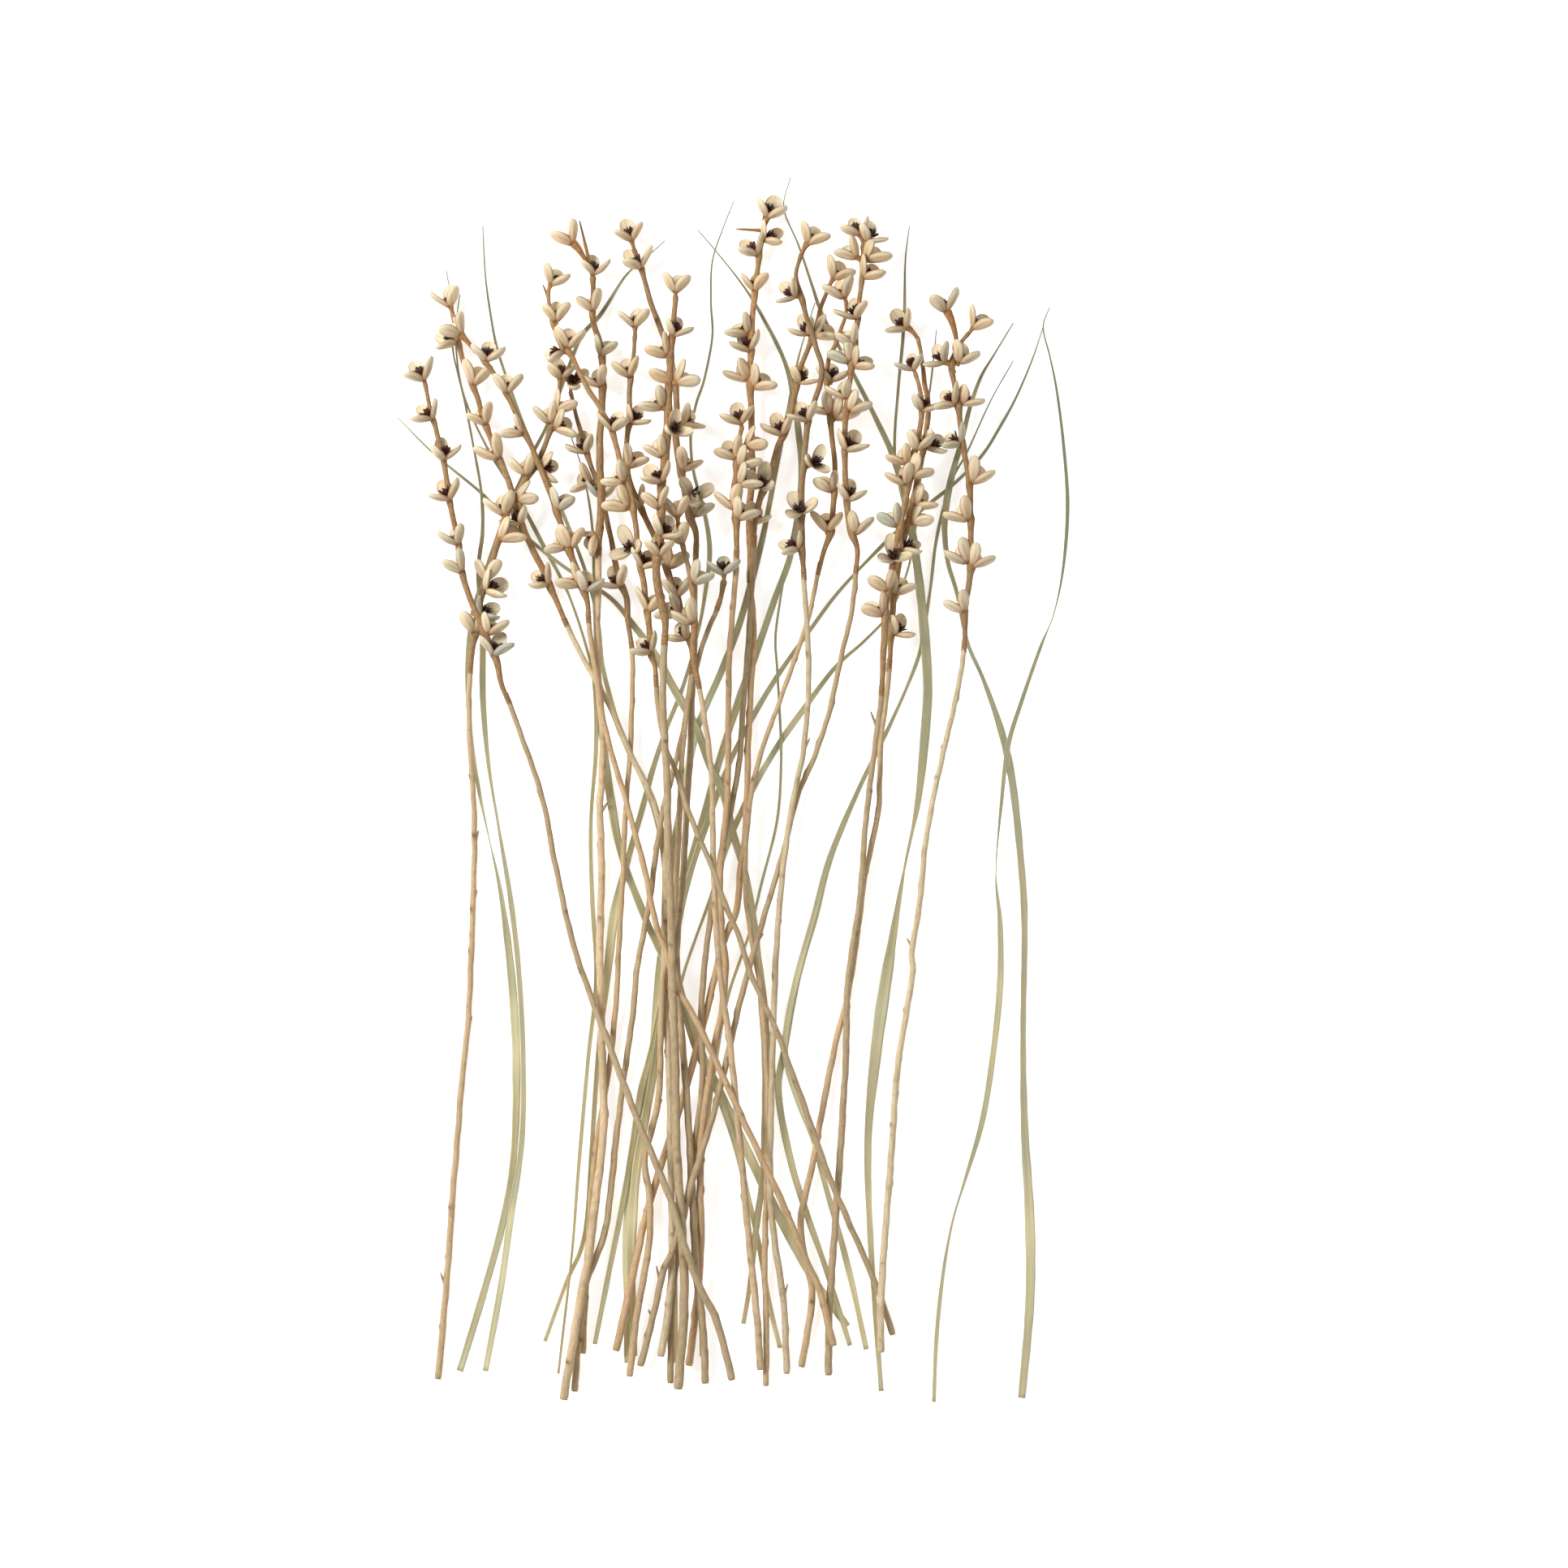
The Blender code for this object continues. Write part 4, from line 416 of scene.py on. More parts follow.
def smooth_curve(points):
    """Dense points on a Catmull-Rom curve through the given points."""
    chosen = np.array(points, float)
    padded = np.vstack([2 * chosen[0] - chosen[1], chosen, 2 * chosen[-1] - chosen[-2]])
    t = np.linspace(0, 1, CURVE_STEPS, endpoint=False)[:, None]
    spans = []
    for a, b, c, d in zip(padded[:-3], padded[1:-2], padded[2:-1], padded[3:]):
        cubic = 2 * b + (c - a) * t + (2 * a - 5 * b + 4 * c - d) * t ** 2 + (3 * b - a - 3 * c + d) * t ** 3
        spans.append(cubic / 2)
    return np.vstack(spans + [chosen[-1:]])


def lengths_along(points):
    steps = np.linalg.norm(np.diff(points, axis=0), axis=1)
    return np.concatenate([[0], np.cumsum(steps)])


def points_at(points, s):
    along = lengths_along(points)
    return np.column_stack([np.interp(s, along, points[:, axis]) for axis in range(points.shape[1])])


def even_steps(start, end, step):
    count = max(1, round((end - start) / step))
    return np.linspace(start, end, count + 1)


class Line:
    """A polyline seen from above: its knots, the distance of each along it, and later their heights."""

    def __init__(self, whole, s):
        self.whole = whole
        self.knots = points_at(whole, s)
        self.s = s
        self.z = np.zeros(len(s))

    def place(self, s):
        return np.column_stack([np.interp(s, self.s, self.knots[:, axis]) for axis in (0, 1)])

    def height(self, s):
        return np.interp(s, self.s, self.z)

    def direction(self, s):
        segment = np.clip(np.searchsorted(self.s, s, side="right") - 1, 0, len(self.s) - 2)
        return unit(np.diff(self.knots, axis=0)[segment])

    def nearest(self, point, start):
        s = np.arange(start, self.s[-1], SEARCH_STEP)
        return s[np.argmin(np.linalg.norm(self.place(s) - np.array(point), axis=1))]

    def fine(self, s):
        """Points on the smooth route at these distances, with the kinks in height rounded off."""
        spread = np.linspace(-ROUNDING, ROUNDING, ROUNDING_STEPS)
        heights = np.mean([self.height(s + shift) for shift in spread], axis=0)
        return np.column_stack([points_at(self.whole, s), heights])


def unit(rows):
    """Each row as a direction of length one."""
    return rows / np.linalg.norm(rows, axis=1)[:, None]


def across(direction):
    return np.column_stack([-direction[:, 1], direction[:, 0]])


def tube_samples(line, profile):
    """Points on the lower and upper side of a round tube, with the distance along it that each rides on."""
    s = np.arange(line.s[0], line.s[-1], SAMPLE_STEP)
    place, side, radius = line.place(s), across(line.direction(s)), np.interp(s, *profile)
    rows = []
    for u in np.linspace(-1, 1, SAMPLES_ACROSS):
        flat = place + side * (u * radius)[:, None]
        rise = np.sqrt(1 - u * u) * radius
        rows.append(np.column_stack([s, flat, -rise]))
        rows.append(np.column_stack([s, flat, rise]))
    return np.vstack(rows)


def blade_samples(line, half_widths, rolls):
    s = np.arange(line.s[0], line.s[-1], SAMPLE_STEP)
    place, side = line.place(s), across(line.direction(s))
    half, roll = np.interp(s, line.s, half_widths), np.interp(s, line.s, rolls)
    rows = []
    for u in np.linspace(-1, 1, SAMPLES_ACROSS):
        flat = place + side * (u * half * np.cos(roll))[:, None]
        rise = u * half * np.sin(roll)
        for face in (-1, 1):
            rows.append(np.column_stack([s, flat, rise + face * BLADE_THICKNESS / 2]))
    return np.vstack(rows)


def triangle_samples(corners):
    """Points spread over one triangle, closer together than the cells of the table."""
    a, b, c = (np.array(corner) for corner in corners)
    longest = max(np.linalg.norm(b - a), np.linalg.norm(c - a), np.linalg.norm(c - b))
    n = max(1, int(np.ceil(longest / SAMPLE_STEP)))
    i, j = np.meshgrid(np.arange(n + 1), np.arange(n + 1))
    keep = i + j <= n
    u, v = i[keep][:, None] / n, j[keep][:, None] / n
    return a + (b - a) * u + (c - a) * v


class Table:
    """The height of what lies on the table already, in cells of one millimetre."""

    def __init__(self):
        self.top = np.zeros((TABLE_X[1] - TABLE_X[0], TABLE_Y[1] - TABLE_Y[0]))

    def cells(self, xy):
        return np.round(xy[:, 0] - TABLE_X[0]).astype(int), np.round(xy[:, 1] - TABLE_Y[0]).astype(int)

    def needed(self, samples):
        """Least height of the piece's line at each sample, over its own cell and the eight round it."""
        wide = self.top.copy()
        for axis in (0, 1):
            wide = np.maximum(wide, np.maximum(np.roll(wide, 1, axis), np.roll(wide, -1, axis)))
        under = wide[self.cells(samples[:, 1:3])]
        return under + CONTACT_GAP * (under > TABLE_GAP) - samples[:, 3]

    def add(self, samples, heights):
        """Lay a piece down. What comes after the first, flat one stays a hair above the bare table."""
        np.maximum.at(self.top, self.cells(samples[:, 1:3]), samples[:, 3] + heights)
        np.maximum(self.top, TABLE_GAP, out=self.top)


def settle(line, samples, table, bend):
    """Give the line low heights at which it clears the table and bends gently between its supports."""
    need = table.needed(samples)
    segment = np.clip(np.searchsorted(line.s, samples[:, 0], side="right") - 1, 0, len(line.s) - 2)
    top = np.zeros(len(line.s) - 1)
    np.maximum.at(top, segment, need)
    z = np.maximum(np.append(top, top[-1]), np.insert(top, 0, top[0]))
    share = (samples[:, 0] - line.s[segment]) / np.diff(line.s)[segment]
    held = [(need[segment == k], share[segment == k]) for k in range(len(top))]
    for _ in range(RELAXATIONS):
        for i in range(len(z)):
            z[i] = max(z[i] - LOWERING, lowest_height(i, z, line.s, held, bend))
    line.z = z
    table.add(samples, line.height(samples[:, 0]))


def lowest_height(i, z, s, held, bend):
    """How low one knot may go with its neighbours as they are."""
    limits = [(np.delete(z, i) - bend * (np.delete(s, i) - s[i]) ** 2).max()]
    if i > 0:
        need, share = held[i - 1]
        limits.append(((need - z[i - 1] * (1 - share)) / np.maximum(share, LEAST_SHARE)).max(initial=0))
    if i < len(z) - 1:
        need, share = held[i]
        limits.append(((need - z[i + 1] * share) / np.maximum(1 - share, LEAST_SHARE)).max(initial=0))
    if 0 < i < len(z) - 1:
        before, after = s[i] - s[i - 1], s[i + 1] - s[i]
        chord = (z[i - 1] * after + z[i + 1] * before) / (before + after)
        limits.append(chord - bend * before * after)
    return max(limits)


def branch_line(row):
    """One line for twig and spike together, with extra knots where the wire was wound."""
    whole = smooth_curve(row["twig"] + row["spike"])
    along = lengths_along(whole)
    last_twig_point = (len(row["twig"]) - 1) * CURVE_STEPS
    splice = along[last_twig_point]
    twig_s = even_steps(0, splice, STEM_STEP)
    spike_s = even_steps(splice + WRAP_LENGTH + WRAP_RAMP, along[-1], SPIKE_STEP)
    return Line(whole, np.concatenate([twig_s, [splice + WRAP_LENGTH], spike_s])), splice


def branch_profile(row, splice, end):
    """Distances along a branch and its radius at each, with the wound wire as a step."""
    at_cut, at_splice = row["radii"]
    cut, wrap_end = splice - SPLICE_BACK, splice + WRAP_LENGTH
    s = [0, cut - SPLICE_GAP, cut, wrap_end, wrap_end + WRAP_RAMP, end]
    proud = at_splice + WRAP_PROUD
    return s, [at_cut, at_splice, proud, proud, at_splice, at_splice * SPIKE_TIP]


def pod_layout(row, line, splice, table, random):
    """Where each pod springs from its spike and how it points, in millimetres and radians.

    Of a few ways to turn, each pod takes the one that lies lowest among what is there already.
    """
    pods = []
    for mouth, (middle_x, middle_y, *spring) in zip(map(int, row["mouths"]), row["pods"]):
        root, sideways = pod_root(line, (middle_x, middle_y), spring, splice + FIRST_POD)
        start = line.place(np.array([root]))[0]
        run_x, run_y = middle_x - start[0], middle_y - start[1]
        lift = NEAR_LINE_TILT if sideways < NEAR_LINE else 0
        opening, scale = radians(random.uniform(*OPENINGS[mouth])), random.uniform(*PLUMP)
        tries = []
        for _ in range(POD_TRIES):
            tilt, pitch = radians(random.uniform(*TILTS) + lift), radians(random.uniform(*PITCHES[mouth]))
            turn = radians(random.uniform(*TURNS[mouth]))
            reach = max((hypot(run_x, run_y) - POD_MIDDLE * cos(pitch)) / cos(tilt), PEDICEL_MIN)
            pod = dict(root=root, start=start, heading=np.arctan2(run_y, run_x), tilt=tilt, pitch=pitch,
                       reach=reach, turn=turn, opening=opening, scale=scale, mouth=mouth,
                       middle=(middle_x, middle_y))
            pod["samples"] = pod_samples(pod)
            tries.append((table.needed(pod["samples"]).max(), len(tries), pod))
        pods.append(min(tries)[2])
    return pods


def pod_root(line, middle, spring, first):
    """Where along the line a pod's stalk starts, and how far to the side of the line the pod stands."""
    nearest = line.nearest(middle, first)
    sideways = hypot(*(np.array(middle) - line.place(np.array([nearest]))[0]))
    if spring:
        return line.nearest(spring, first), sideways
    last = line.s[-1] - STALK_SUNK
    set_back = POD_SET_BACK if nearest < last else 0
    return max(first, min(nearest, last) - set_back), sideways


def pointing(heading, rise):
    """A direction from its heading seen from above and its rise over the level."""
    return Vector((cos(heading) * cos(rise), sin(heading) * cos(rise), sin(rise)))


def stalk_run(pod):
    """The way from the root of a pod's stalk to the foot of the pod."""
    return pointing(pod["heading"], pod["tilt"]) * pod["reach"]


def pod_frame(pod):
    """The pod's axis and two directions across it, the second one upward."""
    axis = pointing(pod["heading"], pod["pitch"])
    side = axis.cross(Vector((0, 0, 1))).normalized()
    return axis, side, side.cross(axis).normalized()


def valve_frame(pod, k):
    """Directions of one valve: along it, out of its back and across it."""
    axis, side, up = pod_frame(pod)
    turn = pod["turn"] + k * THIRD_TURN
    outward = side * cos(turn) + up * sin(turn)
    along = axis * cos(pod["opening"]) + outward * sin(pod["opening"])
    deep = outward * cos(pod["opening"]) - axis * sin(pod["opening"])
    return along, deep, deep.cross(along)


def pod_shape(pod):
    """The plain solid of a pod: three boat-shaped valves on one tapering stalk, its foot at the origin."""
    axis, side, up = pod_frame(pod)
    shape = bmesh.new()
    tail = shape.verts.new(-stalk_run(pod) * (1 + STALK_SUNK / pod["reach"]))
    floor = shape.verts.new(axis * POD_FLOOR)
    clefts = []
    for k in range(VALVES):
        turn = pod["turn"] + (k - 0.5) * THIRD_TURN
        clefts.append(shape.verts.new((side * cos(turn) + up * sin(turn)) * CLEFT_RADIUS))
    for k in range(VALVES):
        near, far = clefts[k], clefts[(k + 1) % VALVES]
        along, deep, wide = valve_frame(pod, k)
        low_edge, high_edge = [], []
        for t, spread in (VALVE_WAIST, VALVE_END):
            middle = along * VALVE_LENGTH * t + deep * VALVE_CURL * t ** 3
            low_edge.append(shape.verts.new((middle - wide * VALVE_HALF_WIDTH * spread) * pod["scale"]))
            high_edge.append(shape.verts.new((middle + wide * VALVE_HALF_WIDTH * spread) * pod["scale"]))
        keel = shape.verts.new((along * VALVE_LENGTH * KEEL_AT + deep * VALVE_DEPTH) * pod["scale"])
        if (clefts[k].co - low_edge[0].co).length > (clefts[k].co - high_edge[0].co).length:
            low_edge, high_edge = high_edge, low_edge
        for corners in ((tail, near, far), (near, far, keel), (near, keel, low_edge[0]),
                        (far, high_edge[0], keel), (low_edge[0], keel, low_edge[1]),
                        (high_edge[0], high_edge[1], keel), (low_edge[1], keel, high_edge[1]),
                        (floor, low_edge[0], low_edge[1]), (floor, low_edge[1], high_edge[1]),
                        (floor, high_edge[1], high_edge[0]), (near, low_edge[0], floor),
                        (far, floor, high_edge[0])):
            shape.faces.new(corners)
    return shape


def pod_samples(pod):
    """Points over a pod for the table, riding on the place where its stalk starts."""
    foot = np.array([*pod["start"], 0]) + np.array(stalk_run(pod))
    shape = pod_shape(pod)
    corners = [[np.array(vert.co) + foot for vert in face.verts] for face in shape.faces]
    shape.free()
    points = np.vstack([triangle_samples(three) for three in corners])
    return np.column_stack([np.full(len(points), pod["root"]), points])


# Fineness of the shown pieces, in millimetres and counts
ROUNDING = 11.0
ROUNDING_STEPS = 9
TWIG_RING = 2.6
TWIG_SIDES = 12
RACHIS_RING = 2.2
RACHIS_SIDES = 10
SPUR_SIDES = 8
STALK_RINGS = 8
STALK_SIDES = 9
VALVE_ROWS = 12
VALVE_COLUMNS = 11
SEED_SIDES = 5
WIRE_SIDES = 6
WIRE_STEPS = 14
BLADE_RING = 4.0
BLADE_COLUMNS = 7

# Bark: wave lengths and heights of its bends and swellings, and the scars, in millimetres
BARK_BENDS, BARK_BEND = (90, 37, 21), 0.35
BARK_SWELLS, BARK_SWELL = (60, 23, 11), 0.05
STREAKS, STREAK_TWIST = (130, 47, 19), 14
GREEN_PATCHES = (190, 120, 70)
SCARS = 30
SCAR_SPACING = (22, 58)
SCAR_MARGIN = 5
SCAR_HEIGHTS = (0.3, 0.9)
SCAR_LENGTHS = (1.6, 3.2)
SCAR_DARKNESS = (0.5, 1.0)
END_ROUNDING = 1.2

# How stout a twig is shown: at the cut end, a little above it and at the splice, as shares of the solid
TWIG_STOUT = (1.14, 1.08, 1.04)
CUT_FLARE = 10
SLEEVE_DEPTH = 6
CUT_FACE_AT = (-0.05, 0.6)
CUT_FACE_WIDE = np.array([[0.62], [0.6]])
TWIG_LIGHTNESS = (0.90, 1.05)

# The same for a spike: at the cut, above the wire, where it is full, where it narrows and at its tip
RACHIS_STOUT = np.array([1.0, 0.98, 1.28, 1.0, 0.72])
RACHIS_FULL = 30
RACHIS_NARROWS = 40
RACHIS_LIGHTNESS = (0.92, 1.06)
KNOT_HEIGHT = 0.55
KNOT_LENGTH = 4.5
KNOT_SCAR = 3

# Side shoots: radii along them as shares of the twig's, and how they rise, in millimetres
SPUR_TAPER = np.array([0.75, 0.62, 0.5, 0.42, 0.24])
SPUR_RISES = (0.2, 1.4)
SPUR_ARCH = 0.5

# The wound wire, in millimetres and turns
WIRE_THICK = 0.26
WIRE_BROAD = 0.52
WIRE_TURNS = (4.2, 6.2)
WIRE_STARTS = (0.0, 1.5)
WIRE_PITCHES = (1.25, 1.65)
WIRE_MARKS = (5, 3)

# A pod's stalk: its radius along it in millimetres, and how deep its three lobes are
STALK_PLACES = [0, 0.3, 0.65, 0.9, 1]
STALK_RADII = [1.5, 1.55, 2.3, 3.2, 2.4]
STALK_LOBES = 0.16
STALK_INSIDE = 1.4

# Valves: how they depart from the plain ones, in degrees, millimetres and shares
VALVE_WRAP = 98
VALVE_SHUT = 0.88
VALVE_SWELL = 1.10
VALVE_HOLLOW = 0.30
VALVE_RIM = 0.5
VALVE_LENGTHS = (0.84, 0.98)
VALVE_WIDTHS = (1.0, 1.14)
VALVE_DEPTHS = (0.84, 1.0)
VALVE_CURLS = (0.3, 1.2)
VALVE_TWIST = 0.2
VALVE_LEAN = 0.8
VALVE_DENTS = (0.1, 0.3)
VALVE_STREAKS = (1.7, 0.9, 0.5)

# Seeds by how far the pod's mouth faces up: how many, the farthest lean, and their lengths
SEED_COUNTS = (7, 11, 20, 26)
SEED_LEANS = (0.35, 0.5, 0.6, 0.7)
SEED_LENGTHS = ((3.5, 5.5), (4.5, 6.8), (5.5, 8.5), (4.5, 7.5))
SEED_PLACES = np.array([0, 0.35, 0.75, 1.0])
SEED_TAPER = np.array([0.8, 0.9, 1.0, 0.5])
SEED_TINGE = np.array([0.0, 0.1, 0.4, 0.6])

# Shown blades, in millimetres and shares, and the wave lengths of their changes in form and colour
BLADE_SLIMMEST = 0.85
BLADE_POINT = 60
BLADE_POINT_SHARE = 0.35
BLADE_FOLD = 0.16
BLADE_HALF_THICK = 0.30
BLADE_WIDTHS, BLADE_CUPS = (140, 61, 29), (80, 31)
BLADE_DRIFTS, BLADE_STRIPES = (260, 110, 45), (2.3, 1.1)

# Surfaces: how the noise turns into fibres, patches, pores, relief and roughness
PATTERNS = 50
FIBRE_DETAIL, FIBRE_ROUGHNESS = 4.0, 0.6
FIBRES_FROM, FIBRES_TO, FIBRES_LIGHTER = 0.28, 0.72, 0.35
PATCHES_FROM, PATCHES_TO, PATCHES_STRENGTH = 0.52, 0.78, 0.55
SPECKLES_FINER = 9
PORE_SCALE, PORE_STRENGTH = 150.0, 0.5
RELIEF_DEPTH = 0.0004
ROUGHNESS_SPREAD = 0.12
THIN_RADIUS, THIN_SCALE = (1.0, 0.6, 0.35), 0.0012


def rgb(red, green, blue):
    """A colour from 0 to 255 as on a screen, as the linear values that shaders take."""
    share = np.array([red, green, blue]) / 255
    return np.where(share <= 0.04045, share / 12.92, ((share + 0.055) / 1.055) ** 2.4)


TWIG_TONES = [rgb(226, 198, 160), rgb(216, 186, 146), rgb(206, 176, 134), rgb(228, 208, 172),
              rgb(196, 172, 136), rgb(220, 184, 142)]
BARK_DARK = rgb(122, 90, 54)
BARK_GREEN = rgb(168, 158, 116)
PORE_BROWN = rgb(92, 58, 32)
CUT_FACE = rgb(230, 214, 176)
RACHIS_TONES = [rgb(194, 150, 102), rgb(176, 134, 90), rgb(200, 162, 116), rgb(164, 130, 90)]
STALK_ORANGE = rgb(194, 132, 74)
VALVE_CREAM = rgb(238, 226, 197)
VALVE_PEACH = rgb(232, 195, 146)
VALVE_TAN = rgb(180, 128, 78)
VALVE_GREY = rgb(216, 213, 182)
VALVE_INSIDE = rgb(236, 223, 192)
VALVE_STAIN = rgb(110, 62, 34)
TEAL = rgb(128, 166, 160)
SEED_DARK_AND_HOLLOW_SHADE = rgb(38, 14, 10)
SEED_RED = rgb(124, 44, 24)
WIRE_TAN = rgb(186, 142, 96)
BLADE_STRAW = rgb(240, 227, 180)
BLADE_OLIVE = rgb(196, 190, 146)
BLADE_BLUE = rgb(170, 190, 170)
BLADE_DARK = rgb(114, 112, 82)


def blend(first, second, share):
    """A colour between two, or an array of them where the share is an array."""
    share = np.clip(share, 0, 1)[..., None]
    return np.asarray(first) * (1 - share) + np.asarray(second) * share


def waves(x, random, lengths):
    """A smooth wandering value about zero along x, as the mean of sines of these wave lengths."""
    total = np.zeros_like(x, dtype=float)
    for length in lengths:
        total += np.sin(2 * pi * x / (length * random.uniform(0.8, 1.25)) + random.uniform(0, 2 * pi))
    return total / len(lengths)


def wander(x, random, lengths):
    """The same between 0 and 1."""
    return 0.5 + 0.5 * waves(x, random, lengths)


def pattern_place(around, along, random):
    """Where each point lies on its piece, for the fibres, with a number that differs from piece to piece."""
    return np.dstack(np.broadcast_arrays(around, along, np.float64(random.uniform(0, PATTERNS))))


def add_object(name, data):
    made = bpy.data.objects.new(name, data)
    bpy.context.scene.collection.objects.link(made)
    return made


class Skin:
    """Rings of points joined to closed shapes, with the colour and lay of each point."""

    def __init__(self):
        self.points, self.faces, self.tints, self.lays = [], [], [], []
        self.count = 0

    def loft(self, rings, tint, lay):
        """Join rings, an array of rows by points round by 3, and close both ends."""
        rows, around = rings.shape[:2]
        index = np.arange(rows * around).reshape(rows, around) + self.count
        after = np.roll(index, -1, axis=1)
        quads = np.stack([index[:-1], after[:-1], after[1:], index[1:]], axis=-1).reshape(-1, 4)
        self.faces += quads.tolist()
        self.faces += [index[0, ::-1].tolist(), index[-1].tolist()]
        self.points.append(rings.reshape(-1, 3))
        self.tints.append(np.broadcast_to(tint, rings.shape).reshape(-1, 3))
        self.lays.append(np.broadcast_to(lay, rings.shape).reshape(-1, 3))
        self.count += rows * around

    def finish(self, name, surface, slot, shift, *nodes):
        points = np.vstack(self.points) * MM + shift
        points[:, 2] = np.maximum(points[:, 2], 0)
        mesh = bpy.data.meshes.new(name)
        mesh.from_pydata(points, [], self.faces)
        mesh.polygons.foreach_set("use_smooth", [True] * len(mesh.polygons))
        tint = mesh.attributes.new("tint", "FLOAT_COLOR", "POINT")
        solid = np.ones((self.count, 1))
        tint.data.foreach_set("color", np.hstack([np.vstack(self.tints), solid]).ravel())
        lay = mesh.attributes.new("lay", "FLOAT_VECTOR", "POINT")
        lay.data.foreach_set("vector", np.vstack(self.lays).ravel())
        mesh.materials.append(surface)
        mesh.validate()
        piece = add_object(name, mesh)
        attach(piece, "root")
        if nodes:
            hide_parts(*nodes)


def turns_round(sides):
    return np.linspace(0, 2 * pi, sides, endpoint=False)


def ring_frames(path):
    """Across and upward directions at each point of a path."""
    run = unit(np.gradient(path, axis=0))
    side = unit(np.cross(run, [0, 0, 1]))
    return side, np.cross(side, run)


def rings_round(path, radii, sides):
    """Rings about a path; radii has one row a ring, and one column or one for each side."""
    side, up = ring_frames(path)
    turn = turns_round(sides)
    radii = np.broadcast_to(radii, (len(path), sides))[..., None]
    out = np.cos(turn)[None, :, None] * side[:, None] + np.sin(turn)[None, :, None] * up[:, None]
    return path[:, None] + out * radii


def round_ends(radii, s):
    """Pull the radii in near both ends, so that an end isn't a sharp disc."""
    near = np.minimum(s - s[0], s[-1] - s)
    return radii * (0.80 + 0.20 * np.clip(near / END_ROUNDING, 0, 1) ** 0.5)


def scar_marks(s, turn, places, random):
    """How far bud scars stand out of the bark, and how dark they are."""
    lump = np.zeros((len(s), turn.shape[1]))
    dark = np.zeros_like(lump)
    for place in places:
        heading, high = random.uniform(0, 2 * pi), random.uniform(*SCAR_HEIGHTS)
        away = (s[:, None] - place) / random.uniform(*SCAR_LENGTHS)
        beside = 1 - np.cos(turn - heading)
        spot = np.exp(-away ** 2) * np.exp(-2.5 * beside)
        lump += high * spot
        dark += random.uniform(*SCAR_DARKNESS) * np.exp(-(away * 1.5) ** 2) * np.exp(-5 * beside)
    return lump, dark


def bark(skin, line, s, radii, tone, random, sides, scars):
    """A bare woody stretch with knots, a wandering surface and darker streaks."""
    path = line.fine(s)
    side, _ = ring_frames(path)
    path = path + side * (BARK_BEND * waves(s, random, BARK_BENDS))[:, None]
    turn = turns_round(sides)[None, :]
    swell = 1 + BARK_SWELL * waves(s, random, BARK_SWELLS)[:, None]
    lump, dark = scar_marks(s, turn, scars, random)
    shape = round_ends(radii, s)[:, None] * swell + lump
    streak = wander(s[:, None] + STREAK_TWIST * np.cos(turn), random, STREAKS)
    colour = blend(tone, blend(tone, BARK_DARK, np.array(0.6)), 0.4 * streak)
    colour = blend(colour, BARK_GREEN, 0.35 * wander(s, random, GREEN_PATCHES)[:, None] ** 2)
    colour = blend(colour, BARK_DARK * 0.5, dark)
    lay = pattern_place(turn / pi, s[:, None] * 0.1, random)
    skin.loft(rings_round(path, shape, sides), colour, lay)


def cut_face(skin, line, radius, random):
    """The pale cut wood at a twig's lower end."""
    path = line.fine(np.array(CUT_FACE_AT))
    rings = rings_round(path, radius * CUT_FACE_WIDE, TWIG_SIDES)
    skin.loft(rings, CUT_FACE, pattern_place(0.0, 0.0, random))


def spur(skin, line, foot, tip, radius, tone, random):
    """A short side shoot, tapering to a blunt end."""
    start = line.fine(np.array([line.nearest(foot, 0)]))[0]
    reach = np.array([tip[0] - foot[0], tip[1] - foot[1], random.uniform(*SPUR_RISES)])
    t = np.linspace(0, 1, len(SPUR_TAPER))[:, None]
    path = start + reach * t + np.array([0, 0, SPUR_ARCH]) * t ** 2
    colour = blend(tone, BARK_DARK, np.linspace(0.2, 0.75, len(SPUR_TAPER)))[:, None]
    rings = rings_round(path, radius * SPUR_TAPER[:, None], SPUR_SIDES)
    skin.loft(rings, colour, pattern_place(0.3, 0.5, random))


def add_spurs(skin, code, line, low, high, radius, tone, random):
    """The side shoots of a branch that spring between two places along it."""
    for branch, foot, tip in SPURS:
        if branch == code and low <= line.nearest(foot, 0) < high:
            spur(skin, line, foot, tip, radius, tone, random)


def wire(skin, line, splice, radius, random):
    """Thin wire wound round the splice in a few close turns."""
    turns = random.uniform(*WIRE_TURNS)
    start = splice + random.uniform(*WIRE_STARTS)
    length = turns * random.uniform(*WIRE_PITCHES)
    t = np.linspace(0, 1, int(turns * WIRE_STEPS))
    s = start + length * t
    centre = line.fine(s)
    side, up = ring_frames(centre)
    angle = (2 * pi * turns * t)[:, None]
    out = np.cos(angle) * side + np.sin(angle) * up
    path = centre + out * (radius + WIRE_THICK * 0.6)
    cross = np.cross(unit(np.gradient(path, axis=0)), out)
    turn = turns_round(WIRE_SIDES)
    ring = (np.cos(turn)[None, :, None] * out[:, None] * WIRE_THICK
            + np.sin(turn)[None, :, None] * cross[:, None] * WIRE_BROAD)
    colour = blend(WIRE_TAN, BARK_DARK, 0.25 + 0.25 * waves(s, random, WIRE_MARKS))[:, None]
    skin.loft(path[:, None] + ring, colour, pattern_place(0.5, 0.5, random))


def stalk_root(line, pod):
    """Where a pod's stalk leaves the middle of its spike."""
    return np.array([*pod["start"], line.height(pod["root"])])


